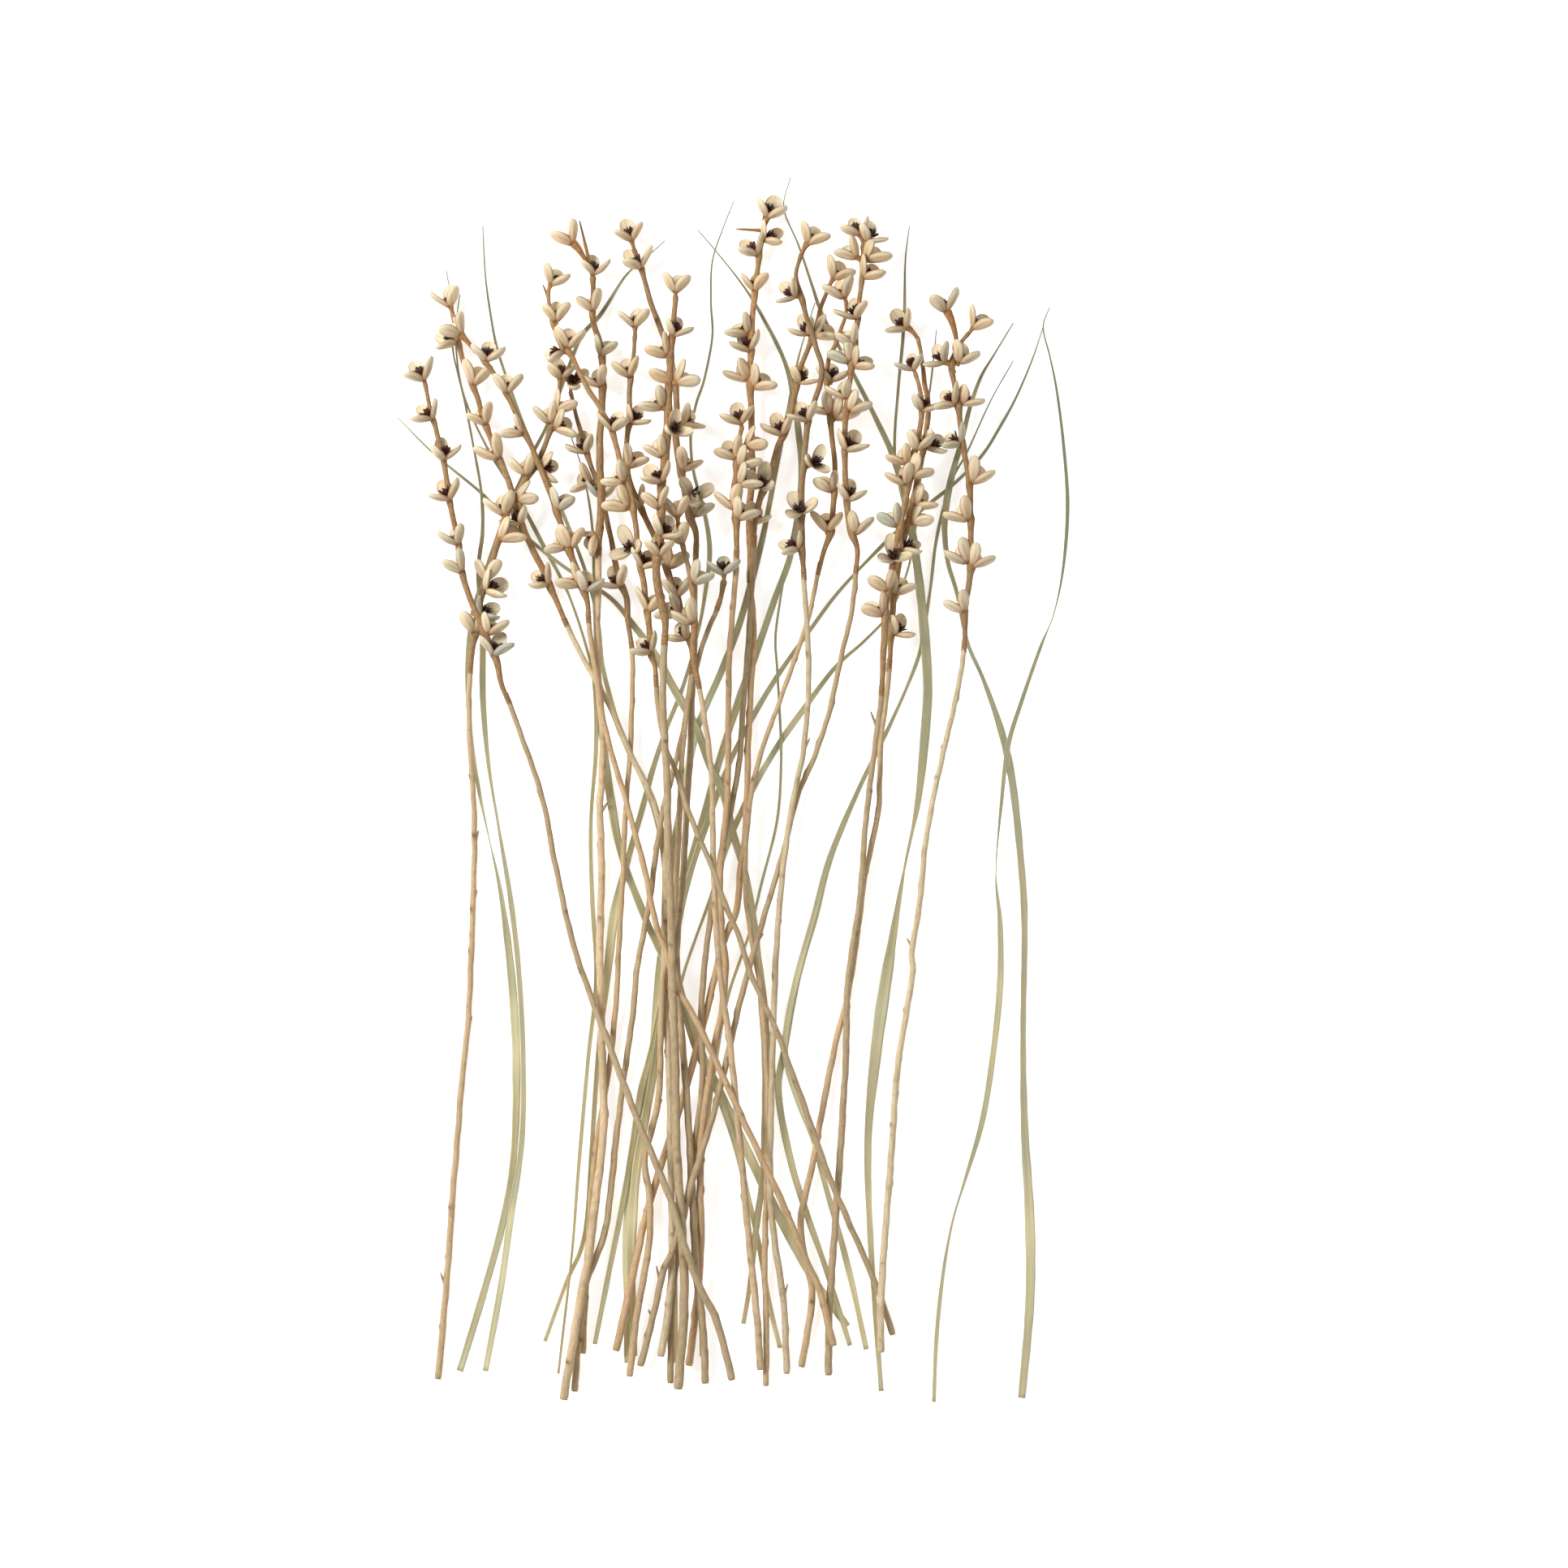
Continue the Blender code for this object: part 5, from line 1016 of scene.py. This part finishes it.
def stalk(skin, line, pod, foot, tone, random):
    """A pod's stalk, leaving the spike along it, bending over and swelling into three lobes."""
    axis = np.array(pod_frame(pod)[0])
    root = stalk_root(line, pod)
    ahead = np.append(line.direction(np.array([pod["root"]]))[0], 0)
    reach = pod["reach"]
    t = np.linspace(0, 1, STALK_RINGS)[:, None]
    bend = root + ahead * reach * 0.28 + np.array(stalk_run(pod)) * 0.55 - axis * reach * 0.10
    end = foot + axis * STALK_INSIDE
    path = root * (1 - t) ** 2 + bend * 2 * t * (1 - t) + end * t ** 2
    swell = np.interp(t[:, 0], STALK_PLACES, STALK_RADII) * pod["scale"]
    turn = turns_round(STALK_SIDES)[None, :]
    lobes = 1 + STALK_LOBES * t ** 2 * np.cos(3 * (turn - pod["turn"]))
    colour = blend(tone, STALK_ORANGE, 0.15 + 0.75 * t[:, 0])[:, None]
    colour = blend(colour, BARK_DARK, 0.25 * (0.5 + 0.5 * np.cos(6 * turn + 9 * t)) * (1 - 0.4 * t))
    # The stalk's end inside the pod is made near-black like the seeds: partly the pod's dark floor, partly
    # painted shade of the pod's hollow middle.
    colour[-1] = SEED_DARK_AND_HOLLOW_SHADE
    lay = pattern_place(turn / pi, t * reach * 0.1, random)
    skin.loft(rings_round(path, swell[:, None] * lobes, STALK_SIDES), colour, lay)


def rounded_end(t, start, power):
    """1 up to the start, then falling to 0 at the end as a round tip does."""
    return np.clip(1 - (np.clip(t - start, 0, None) / (1 - start)) ** power, 0, 1) ** 0.5


def risen(t, full_at):
    """Rising from 0 to 1 in a quarter wave, and 1 from there on."""
    return np.sin(pi / 2 * np.clip(t / full_at, 0, 1))


def valve_rings(pod, k, foot, t, u, oval, random):
    """Rings of one valve like half an almond: its round back, and its shallow inside the other way round."""
    opened = dict(pod, opening=pod["opening"] * VALVE_SHUT)
    along, deep, wide = (np.array(v) for v in valve_frame(opened, k))
    length = VALVE_LENGTH * random.uniform(*VALVE_LENGTHS)
    half = VALVE_HALF_WIDTH * random.uniform(*VALVE_WIDTHS)
    depth = VALVE_DEPTH * random.uniform(*VALVE_DEPTHS)
    curl = VALVE_CURL * random.uniform(*VALVE_CURLS)
    twist = random.uniform(-VALVE_TWIST, VALVE_TWIST)
    lean = random.uniform(-VALVE_LEAN, VALVE_LEAN)
    ripple, dent = random.uniform(0, 2 * pi), random.uniform(*VALVE_DENTS)
    turned_wide = wide + deep * twist * t[..., None]
    width = half * (0.44 + 0.56 * risen(t, 0.56)) * rounded_end(t, 0.52, 2.3)
    arch = depth * (0.62 + 0.38 * risen(t, 0.45)) * rounded_end(t, 0.50, 2.2)
    spine = along * (length * t)[..., None] + deep * (curl * t ** 3)[..., None]
    spine = spine + wide * (lean * t ** 2)[..., None]
    curled = u * radians(VALVE_WRAP)
    level = cos(radians(VALVE_WRAP))
    crease = np.exp(-(u / 0.09) ** 2) * np.sin(pi * t)
    rippled = 1 + 0.05 * np.sin(6 * t + ripple)
    back = arch * (np.cos(curled) - level) * rippled - dent * (oval + 0.6 * crease)
    outer = spine + turned_wide * (width * np.sin(curled))[..., None] + deep * back[..., None]
    inside_width = np.maximum(width - VALVE_RIM * rounded_end(t, 0.6, 2.0), 0.02) * np.sin(u * pi / 2)
    inside_back = VALVE_HOLLOW * arch * np.cos(u * pi / 2) - arch * level * 0.1
    inner = spine + turned_wide * inside_width[..., None] + deep * inside_back[..., None]
    return np.concatenate([outer, inner[:, ::-1]], axis=1) * pod["scale"] * VALVE_SWELL + foot


def valve_colours(warm, teal, t, u, oval, random):
    """Cream to peach with a tan foot and rim outside, paler and stained inside, as the rings run."""
    warm = np.clip(warm + random.uniform(-0.25, 0.25), 0, 1)
    streak = wander(u * 4 + 0.3 * t, random, VALVE_STREAKS)
    middle = np.exp(-(u / 0.40) ** 2) * np.sin(pi * t) ** 0.5
    peach = 0.10 + 0.45 * warm * (0.5 + 0.5 * streak) + 0.30 * middle * warm
    outside = blend(VALVE_CREAM, VALVE_PEACH, peach)
    outside = blend(outside, VALVE_GREY, (1 - warm) * 0.55 * np.abs(u) + 0.20 * (1 - middle))
    outside = blend(outside, VALVE_TAN, 0.85 * (1 - t) ** 3 + 0.45 * oval + 0.85 * (np.abs(u) > 0.95))
    outside = outside * random.uniform(0.90, 1.04)
    outside = blend(outside, TEAL, teal * random.uniform(0.4, 1.0) * (0.35 + 0.65 * streak))
    inside = blend(VALVE_INSIDE, VALVE_PEACH, 0.25 * warm + 0.15 * streak)
    inside = blend(inside, VALVE_STAIN, 0.85 * (1 - t) ** 3 + 0.15 * np.exp(-(u / 0.15) ** 2))
    inside = blend(inside, TEAL, 0.6 * teal * streak * t)
    return np.concatenate([outside, inside[:, ::-1]], axis=1)


def valve(skin, pod, k, foot, warm, teal, random):
    """One plump valve: its back and its inside as one closed shape."""
    t = np.sin(np.linspace(0, pi / 2, VALVE_ROWS))[:, None]
    u = np.linspace(-1, 1, VALVE_COLUMNS)[None, :]
    oval = np.exp(-((np.abs(u) - 0.42 * np.sin(pi * t) ** 0.5) / 0.10) ** 2) * np.sin(pi * t)
    rings = valve_rings(pod, k, foot, t, u, oval, random)
    colour = valve_colours(warm, teal, t, u, oval, random)
    places = pattern_place(u, t, random)
    inside = places[:, ::-1] + [0, 0, 7]
    skin.loft(rings, colour, np.concatenate([places, inside], axis=1))


def seeds(skin, pod, foot, random):
    """A tuft of dark, blunt seeds standing between the valves, larger where the mouth faces up."""
    level = pod["mouth"]
    axis, side, up = (np.array(v) for v in pod_frame(pod))
    t = SEED_PLACES[:, None]
    for _ in range(SEED_COUNTS[level]):
        lean, turn = random.uniform(0.02, SEED_LEANS[level]), random.uniform(0, 2 * pi)
        out = side * cos(turn) + up * sin(turn)
        run = axis * cos(lean) + out * sin(lean)
        length = random.uniform(*SEED_LENGTHS[level])
        start = foot + axis + out * random.uniform(0.1, 0.9)
        path = start + run * length * t + out * random.uniform(0.0, 1.4) * t ** 2
        radii = random.uniform(0.6, 1.0) * SEED_TAPER[:, None]
        colour = blend(SEED_RED, SEED_DARK_AND_HOLLOW_SHADE, random.uniform(0.0, 0.8) + SEED_TINGE)[:, None]
        skin.loft(rings_round(path, radii, SEED_SIDES), colour, pattern_place(turn, lean, random))


def grass(skin, line, row, random):
    """A long dry blade with a shallow fold along its middle, ending in a fine tip."""
    end = line.s[-1]
    s = even_steps(0, end, BLADE_RING)
    path = line.fine(s)
    width, roll = blade_form(row, s, path[:, 1])
    point = np.interp(s, [0, end - BLADE_POINT, end], [1, 1, BLADE_POINT_SHARE])
    width = np.maximum(width, BLADE_SLIMMEST) * point
    width = (width * (1 + 0.05 * waves(s, random, BLADE_WIDTHS)))[:, None]
    side, up = ring_frames(path)
    over = up * np.sin(roll)[:, None] - side * np.cos(roll)[:, None]
    normal = up * np.cos(roll)[:, None] + side * np.sin(roll)[:, None]
    u = np.linspace(-1, 1, BLADE_COLUMNS)[None, :]
    fold = BLADE_FOLD * width * (np.abs(u) - 0.5)
    fold = fold + 0.05 * width * waves(s, random, BLADE_CUPS)[:, None] * u
    thin = BLADE_HALF_THICK * (1 - 0.5 * u ** 2)
    flat = path[:, None] + over[:, None] * (width * u)[..., None]
    top = flat + normal[:, None] * (fold + thin)[..., None]
    under = flat + normal[:, None] * (fold - thin)[..., None]

    along = (s / end)[:, None]
    drift = wander(s, random, BLADE_DRIFTS)[:, None]
    stripe = wander(u * 5 + 0.004 * s[:, None], random, BLADE_STRIPES)
    colour = blend(BLADE_STRAW, BLADE_OLIVE, 1.2 * along + 0.30 * (drift - 0.5))
    colour = blend(colour, BLADE_BLUE, 0.70 * np.abs(u) ** 1.5 * drift + 0.12 * stripe)
    colour = blend(colour, BLADE_DARK, 1.3 * np.clip(along - 0.55, 0, 1) + 0.20 * stripe)
    places = pattern_place(u, s[:, None] * 0.01, random)
    both = (np.concatenate([face, back[:, ::-1]], axis=1)
            for face, back in ((top, under), (colour, colour), (places, places)))
    skin.loft(*both)


def wire_up(tree, kind, **inputs):
    """A new node with its inputs set from values or linked from sockets."""
    made = tree.nodes.new(kind)
    for name, value in inputs.items():
        socket = made.inputs[name.replace("_", " ")]
        if isinstance(value, bpy.types.NodeSocket):
            tree.links.new(value, socket)
        else:
            socket.default_value = value
    return made


def point_value(tree, name):
    """The node that gives a piece's own value at each point."""
    made = tree.nodes.new("ShaderNodeAttribute")
    made.attribute_name = name
    return made.outputs


def mixed(tree, share, first, second):
    """A colour socket mixed with a fixed colour."""
    mix = tree.nodes.new("ShaderNodeMix")
    mix.data_type = "RGBA"
    tree.links.new(share, mix.inputs["Factor"])
    tree.links.new(first, mix.inputs["A"])
    mix.inputs["B"].default_value = (*second, 1)
    return mix.outputs["Result"]


def fibrous(name, stretch, grain, depth, blotch, blotch_colour, roughness, relief, gloss=0.3, thin=0.0,
            pores=0.0):
    """A dry plant surface: the colour of each point, fine fibres along the piece, blotches and relief."""
    made = bpy.data.materials.new(name)
    made.use_nodes = True
    tree = made.node_tree
    shader = tree.nodes["Principled BSDF"]
    place = tree.nodes.new("ShaderNodeTexCoord").outputs["Object"]
    along = wire_up(tree, "ShaderNodeVectorMath", Vector=point_value(tree, "lay")["Vector"])
    along.operation = "MULTIPLY"
    along.inputs[1].default_value = stretch
    fibres = wire_up(tree, "ShaderNodeTexNoise", Vector=along.outputs["Vector"], Scale=grain,
                     Detail=FIBRE_DETAIL, Roughness=FIBRE_ROUGHNESS)
    patches = wire_up(tree, "ShaderNodeTexNoise", Vector=place, Scale=blotch, Detail=3.0)
    speckles = wire_up(tree, "ShaderNodeTexNoise", Vector=place, Scale=blotch * SPECKLES_FINER, Detail=2.0)
    shade = wire_up(tree, "ShaderNodeMapRange", Value=fibres.outputs["Fac"], From_Min=FIBRES_FROM,
                    From_Max=FIBRES_TO, To_Min=1 - depth, To_Max=1 + depth * FIBRES_LIGHTER)
    toned = wire_up(tree, "ShaderNodeVectorMath")
    toned.operation = "SCALE"
    tree.links.new(point_value(tree, "tint")["Color"], toned.inputs[0])
    tree.links.new(shade.outputs["Result"], toned.inputs["Scale"])
    patch = wire_up(tree, "ShaderNodeMapRange", Value=patches.outputs["Fac"], From_Min=PATCHES_FROM,
                    From_Max=PATCHES_TO, To_Max=PATCHES_STRENGTH)
    coloured = mixed(tree, patch.outputs["Result"], toned.outputs["Vector"], blotch_colour)
    if pores:
        cells = wire_up(tree, "ShaderNodeTexVoronoi", Vector=place, Scale=PORE_SCALE)
        spot = wire_up(tree, "ShaderNodeMapRange", Value=cells.outputs["Distance"], From_Min=pores * 0.5,
                       From_Max=pores, To_Min=PORE_STRENGTH, To_Max=0.0)
        coloured = mixed(tree, spot.outputs["Result"], coloured, PORE_BROWN)
    tree.links.new(coloured, shader.inputs["Base Color"])
    height = wire_up(tree, "ShaderNodeMath")
    height.operation = "ADD"
    tree.links.new(fibres.outputs["Fac"], height.inputs[0])
    tree.links.new(speckles.outputs["Fac"], height.inputs[1])
    bump = wire_up(tree, "ShaderNodeBump", Height=height.outputs["Value"], Strength=relief,
                   Distance=RELIEF_DEPTH)
    tree.links.new(bump.outputs["Normal"], shader.inputs["Normal"])
    rough = wire_up(tree, "ShaderNodeMapRange", Value=speckles.outputs["Fac"],
                    To_Min=roughness - ROUGHNESS_SPREAD, To_Max=roughness + ROUGHNESS_SPREAD)
    tree.links.new(rough.outputs["Result"], shader.inputs["Roughness"])
    shader.inputs["Specular IOR Level"].default_value = gloss
    if thin:
        shader.inputs["Subsurface Weight"].default_value = thin
        shader.inputs["Subsurface Radius"].default_value = THIN_RADIUS
        shader.inputs["Subsurface Scale"].default_value = THIN_SCALE
    return made


def make_materials():
    return dict(
        bark=fibrous("dry_bark", stretch=(2.2, 0.55, 1), grain=3.0, depth=0.26, blotch=90,
                     blotch_colour=rgb(160, 126, 86), roughness=0.72, relief=0.4, pores=0.13),
        rachis=fibrous("pod_stalk", stretch=(2.6, 0.8, 1), grain=3.2, depth=0.52, blotch=120,
                       blotch_colour=rgb(146, 100, 58), roughness=0.66, relief=0.9, pores=0.10),
        valve=fibrous("pod_valve", stretch=(5.5, 0.9, 1), grain=2.6, depth=0.22, blotch=150,
                      blotch_colour=rgb(212, 180, 134), roughness=0.55, relief=0.4, thin=0.2),
        seed=fibrous("pod_seed", stretch=(1, 1, 1), grain=9.0, depth=0.5, blotch=400,
                     blotch_colour=rgb(28, 12, 9), roughness=0.42, relief=0.5, gloss=0.5),
        wire=fibrous("paper_wire", stretch=(1, 1, 1), grain=14.0, depth=0.35, blotch=500,
                     blotch_colour=rgb(124, 88, 54), roughness=0.6, relief=0.3),
        grass=fibrous("dry_grass", stretch=(7.0, 0.7, 1), grain=3.4, depth=0.22, blotch=26,
                      blotch_colour=rgb(202, 190, 146), roughness=0.6, relief=0.4, thin=0.12),
    )


def pick_tone(tones, lightness, random):
    """One of the tones, a little lighter or darker."""
    return tones[int(random.integers(len(tones)))] * random.uniform(*lightness)


def build_twig(code, row, line, cut, looks, surfaces, shift):
    at_cut, at_splice = row["radii"]
    tone = pick_tone(TWIG_TONES, TWIG_LIGHTNESS, looks)
    twig = Skin()
    s = even_steps(0, cut + SLEEVE_DEPTH, TWIG_RING)
    scars = np.cumsum(looks.uniform(*SCAR_SPACING, SCARS))
    radii = np.interp(s, [0, CUT_FLARE, cut], np.array([at_cut, at_cut, at_splice]) * TWIG_STOUT)
    bark(twig, line, s, radii, tone, looks, TWIG_SIDES, scars[scars < cut - SCAR_MARGIN])
    cut_face(twig, line, at_cut, looks)
    add_spurs(twig, code, line, 0, cut, at_splice, tone, looks)
    twig.finish("twig_" + code, surfaces["bark"], "twig", shift, "stem_" + code)


def build_spike(code, radius, line, splice, cut, pods, looks, surfaces, shift):
    tone = pick_tone(RACHIS_TONES, RACHIS_LIGHTNESS, looks)
    rachis, valves, dark, coil = Skin(), Skin(), Skin(), Skin()
    top = line.s[-1]
    s = even_steps(cut, top, RACHIS_RING)
    places = [cut, splice + WRAP_LENGTH, splice + RACHIS_FULL, top - RACHIS_NARROWS, top]
    radii = np.interp(s, places, radius * RACHIS_STOUT)
    for pod in pods:
        radii = radii + KNOT_HEIGHT * np.exp(-((s - pod["root"] - 1) / KNOT_LENGTH) ** 2)
    bark(rachis, line, s, radii, tone, looks, RACHIS_SIDES, [pod["root"] + KNOT_SCAR for pod in pods])
    wire(coil, line, splice, radius, looks)
    add_spurs(rachis, code, line, cut, top, radius, tone, looks)
    for pod in pods:
        foot = stalk_root(line, pod) + np.array(stalk_run(pod))
        stalk(rachis, line, pod, foot, tone, looks)
        warm = looks.uniform(0, 1)
        for k in range(VALVES):
            valve(valves, pod, k, foot, warm, TEAL_PODS.get(pod["middle"], 0.0), looks)
        seeds(dark, pod, foot, looks)
    rachis.finish("rachis_" + code, surfaces["rachis"], "pod", shift, "spike_" + code)
    valves.finish("valves_" + code, surfaces["valve"], "pod", shift, "spike_" + code)
    dark.finish("seeds_" + code, surfaces["seed"], "pod", shift)
    coil.finish("wire_" + code, surfaces["wire"], "twig", shift)


def build_branch(code, table, random, looks, surfaces, shift):
    row = BRANCHES[code]
    line, splice = branch_line(row)
    pods = pod_layout(row, line, splice, table, random)
    profile = branch_profile(row, splice, line.s[-1])
    samples = [tube_samples(line, profile)] + [pod["samples"] for pod in pods]
    settle(line, np.vstack(samples), table, TWIG_BEND)
    cut = splice - SPLICE_BACK
    build_twig(code, row, line, cut, looks, surfaces, shift)
    build_spike(code, row["radii"][1], line, splice, cut, pods, looks, surfaces, shift)


def blade_form(row, s, y):
    """Half widths and rolls of a blade: where little of it shows, it narrows and turns on edge."""
    end, width = s[-1], row["width"]
    widths = [width * FOOT_WIDTH, width, width, BLADE_TIP_WIDTH]
    full = np.interp(s, [0, BLADE_FOOT, end - BLADE_TAPER, end], widths)
    seen = np.interp(y, *zip(*row["seen"]))
    full = np.minimum(full, np.maximum(seen * SEEN_TO_WIDE, width * NARROWEST))
    return full / 2, np.arccos(np.minimum(seen / full, 1))


def blade_line(row):
    """The line of a blade with its half width and roll at each knot."""
    whole = smooth_curve(row["route"])
    line = Line(whole, even_steps(0, lengths_along(whole)[-1], BLADE_STEP))
    return line, *blade_form(row, line.s, line.knots[:, 1])


def build_blade(code, table, looks, surfaces, shift):
    line, half, rolls = blade_line(BLADES[code])
    settle(line, blade_samples(line, half, rolls), table, BLADE_BEND)
    strip = Skin()
    grass(strip, line, BLADES[code], looks)
    strip.finish("grass_" + code, surfaces["grass"], "blade", shift, "blade_" + code)


def frame_shift():
    """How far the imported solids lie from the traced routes, from the ends of the flat, lowest blade."""
    line, half, _ = blade_line(BLADES["16"])
    run = line.direction(line.s)
    run[1:-1] = run[1:-1] + run[:-2]
    side = across(unit(run)) * half[:, None]
    edges = np.vstack([line.knots - side, line.knots + side]) * MM
    low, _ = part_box("blade_16")
    return np.array([low.x - edges[:, 0].min(), low.y - edges[:, 1].min(), low.z])


# The photograph looks straight down on the bunch: its middle on the table, and how much it takes in
VIEW_MIDDLE = (0.0372, 0.0036)
VIEW_WIDTH = 1.1592
VIEW_HEIGHT = 0.02
CAMERA_UP = 12.0
SENSOR = 36.0

# Soft studio light, in metres and watts, and the pale floor, in metres
KEY_LIGHT = dict(place=(-1.9, 1.2, 2.3), size=1.2, energy=102)
FILL_LIGHT = dict(place=(1.6, -0.8, 2.4), size=2.4, energy=16)
SKY_STRENGTH = 0.34
FLOOR_REACH = 4.0
FLOOR_DROP = 0.0002
FLOOR_TONE = (0.82, 0.82, 0.82, 1)
FLOOR_GLOW = 0.60
WHITE = (1, 1, 1, 1)


def place_camera(shift):
    data = bpy.data.cameras.new("camera")
    data.sensor_width = SENSOR
    data.lens = SENSOR * CAMERA_UP / VIEW_WIDTH
    data.clip_end = CAMERA_UP * 4
    camera = add_object("camera", data)
    camera.location = (VIEW_MIDDLE[0] + shift[0], VIEW_MIDDLE[1] + shift[1], CAMERA_UP + VIEW_HEIGHT)
    bpy.context.scene.camera = camera


def soft_light(name, place, size, energy):
    data = bpy.data.lights.new(name, "AREA")
    data.shape = "SQUARE"
    data.size = size
    data.energy = energy
    lamp = add_object(name, data)
    lamp.location = place
    lamp.rotation_mode = "QUATERNION"
    lamp.rotation_quaternion = (-Vector(place)).to_track_quat("-Z", "Y")


def light_the_scene():
    soft_light("key", **KEY_LIGHT)
    soft_light("fill", **FILL_LIGHT)
    bpy.context.scene.view_settings.view_transform = "Standard"
    world = bpy.data.worlds.new("studio")
    bpy.context.scene.world = world
    world.use_nodes = True
    sky = world.node_tree.nodes["Background"]
    sky.inputs["Color"].default_value = WHITE
    sky.inputs["Strength"].default_value = SKY_STRENGTH


def lay_floor():
    mesh = bpy.data.meshes.new("floor")
    corners = [(x * FLOOR_REACH, y * FLOOR_REACH, 0) for x, y in ((-1, -1), (1, -1), (1, 1), (-1, 1))]
    mesh.from_pydata(corners, [], [(0, 1, 2, 3)])
    floor = add_object("floor", mesh)
    floor.location.z = -FLOOR_DROP
    pale = bpy.data.materials.new("pale_floor")
    pale.use_nodes = True
    shader = pale.node_tree.nodes["Principled BSDF"]
    shader.inputs["Base Color"].default_value = FLOOR_TONE
    shader.inputs["Roughness"].default_value = 0.9
    shader.inputs["Specular IOR Level"].default_value = 0.1
    shader.inputs["Emission Color"].default_value = WHITE
    shader.inputs["Emission Strength"].default_value = FLOOR_GLOW
    mesh.materials.append(pale)


def main():
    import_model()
    surfaces = make_materials()
    shift = frame_shift()
    table = Table()
    for number, name in enumerate(LAYING_ORDER):
        kind, code = name.split("_")
        looks = np.random.default_rng(LOOK_SEED + number)
        if kind == "branch":
            build_branch(code, table, np.random.default_rng(SEED + number), looks, surfaces, shift)
        else:
            build_blade(code, table, looks, surfaces, shift)
    place_camera(shift)
    light_the_scene()
    lay_floor()


main()
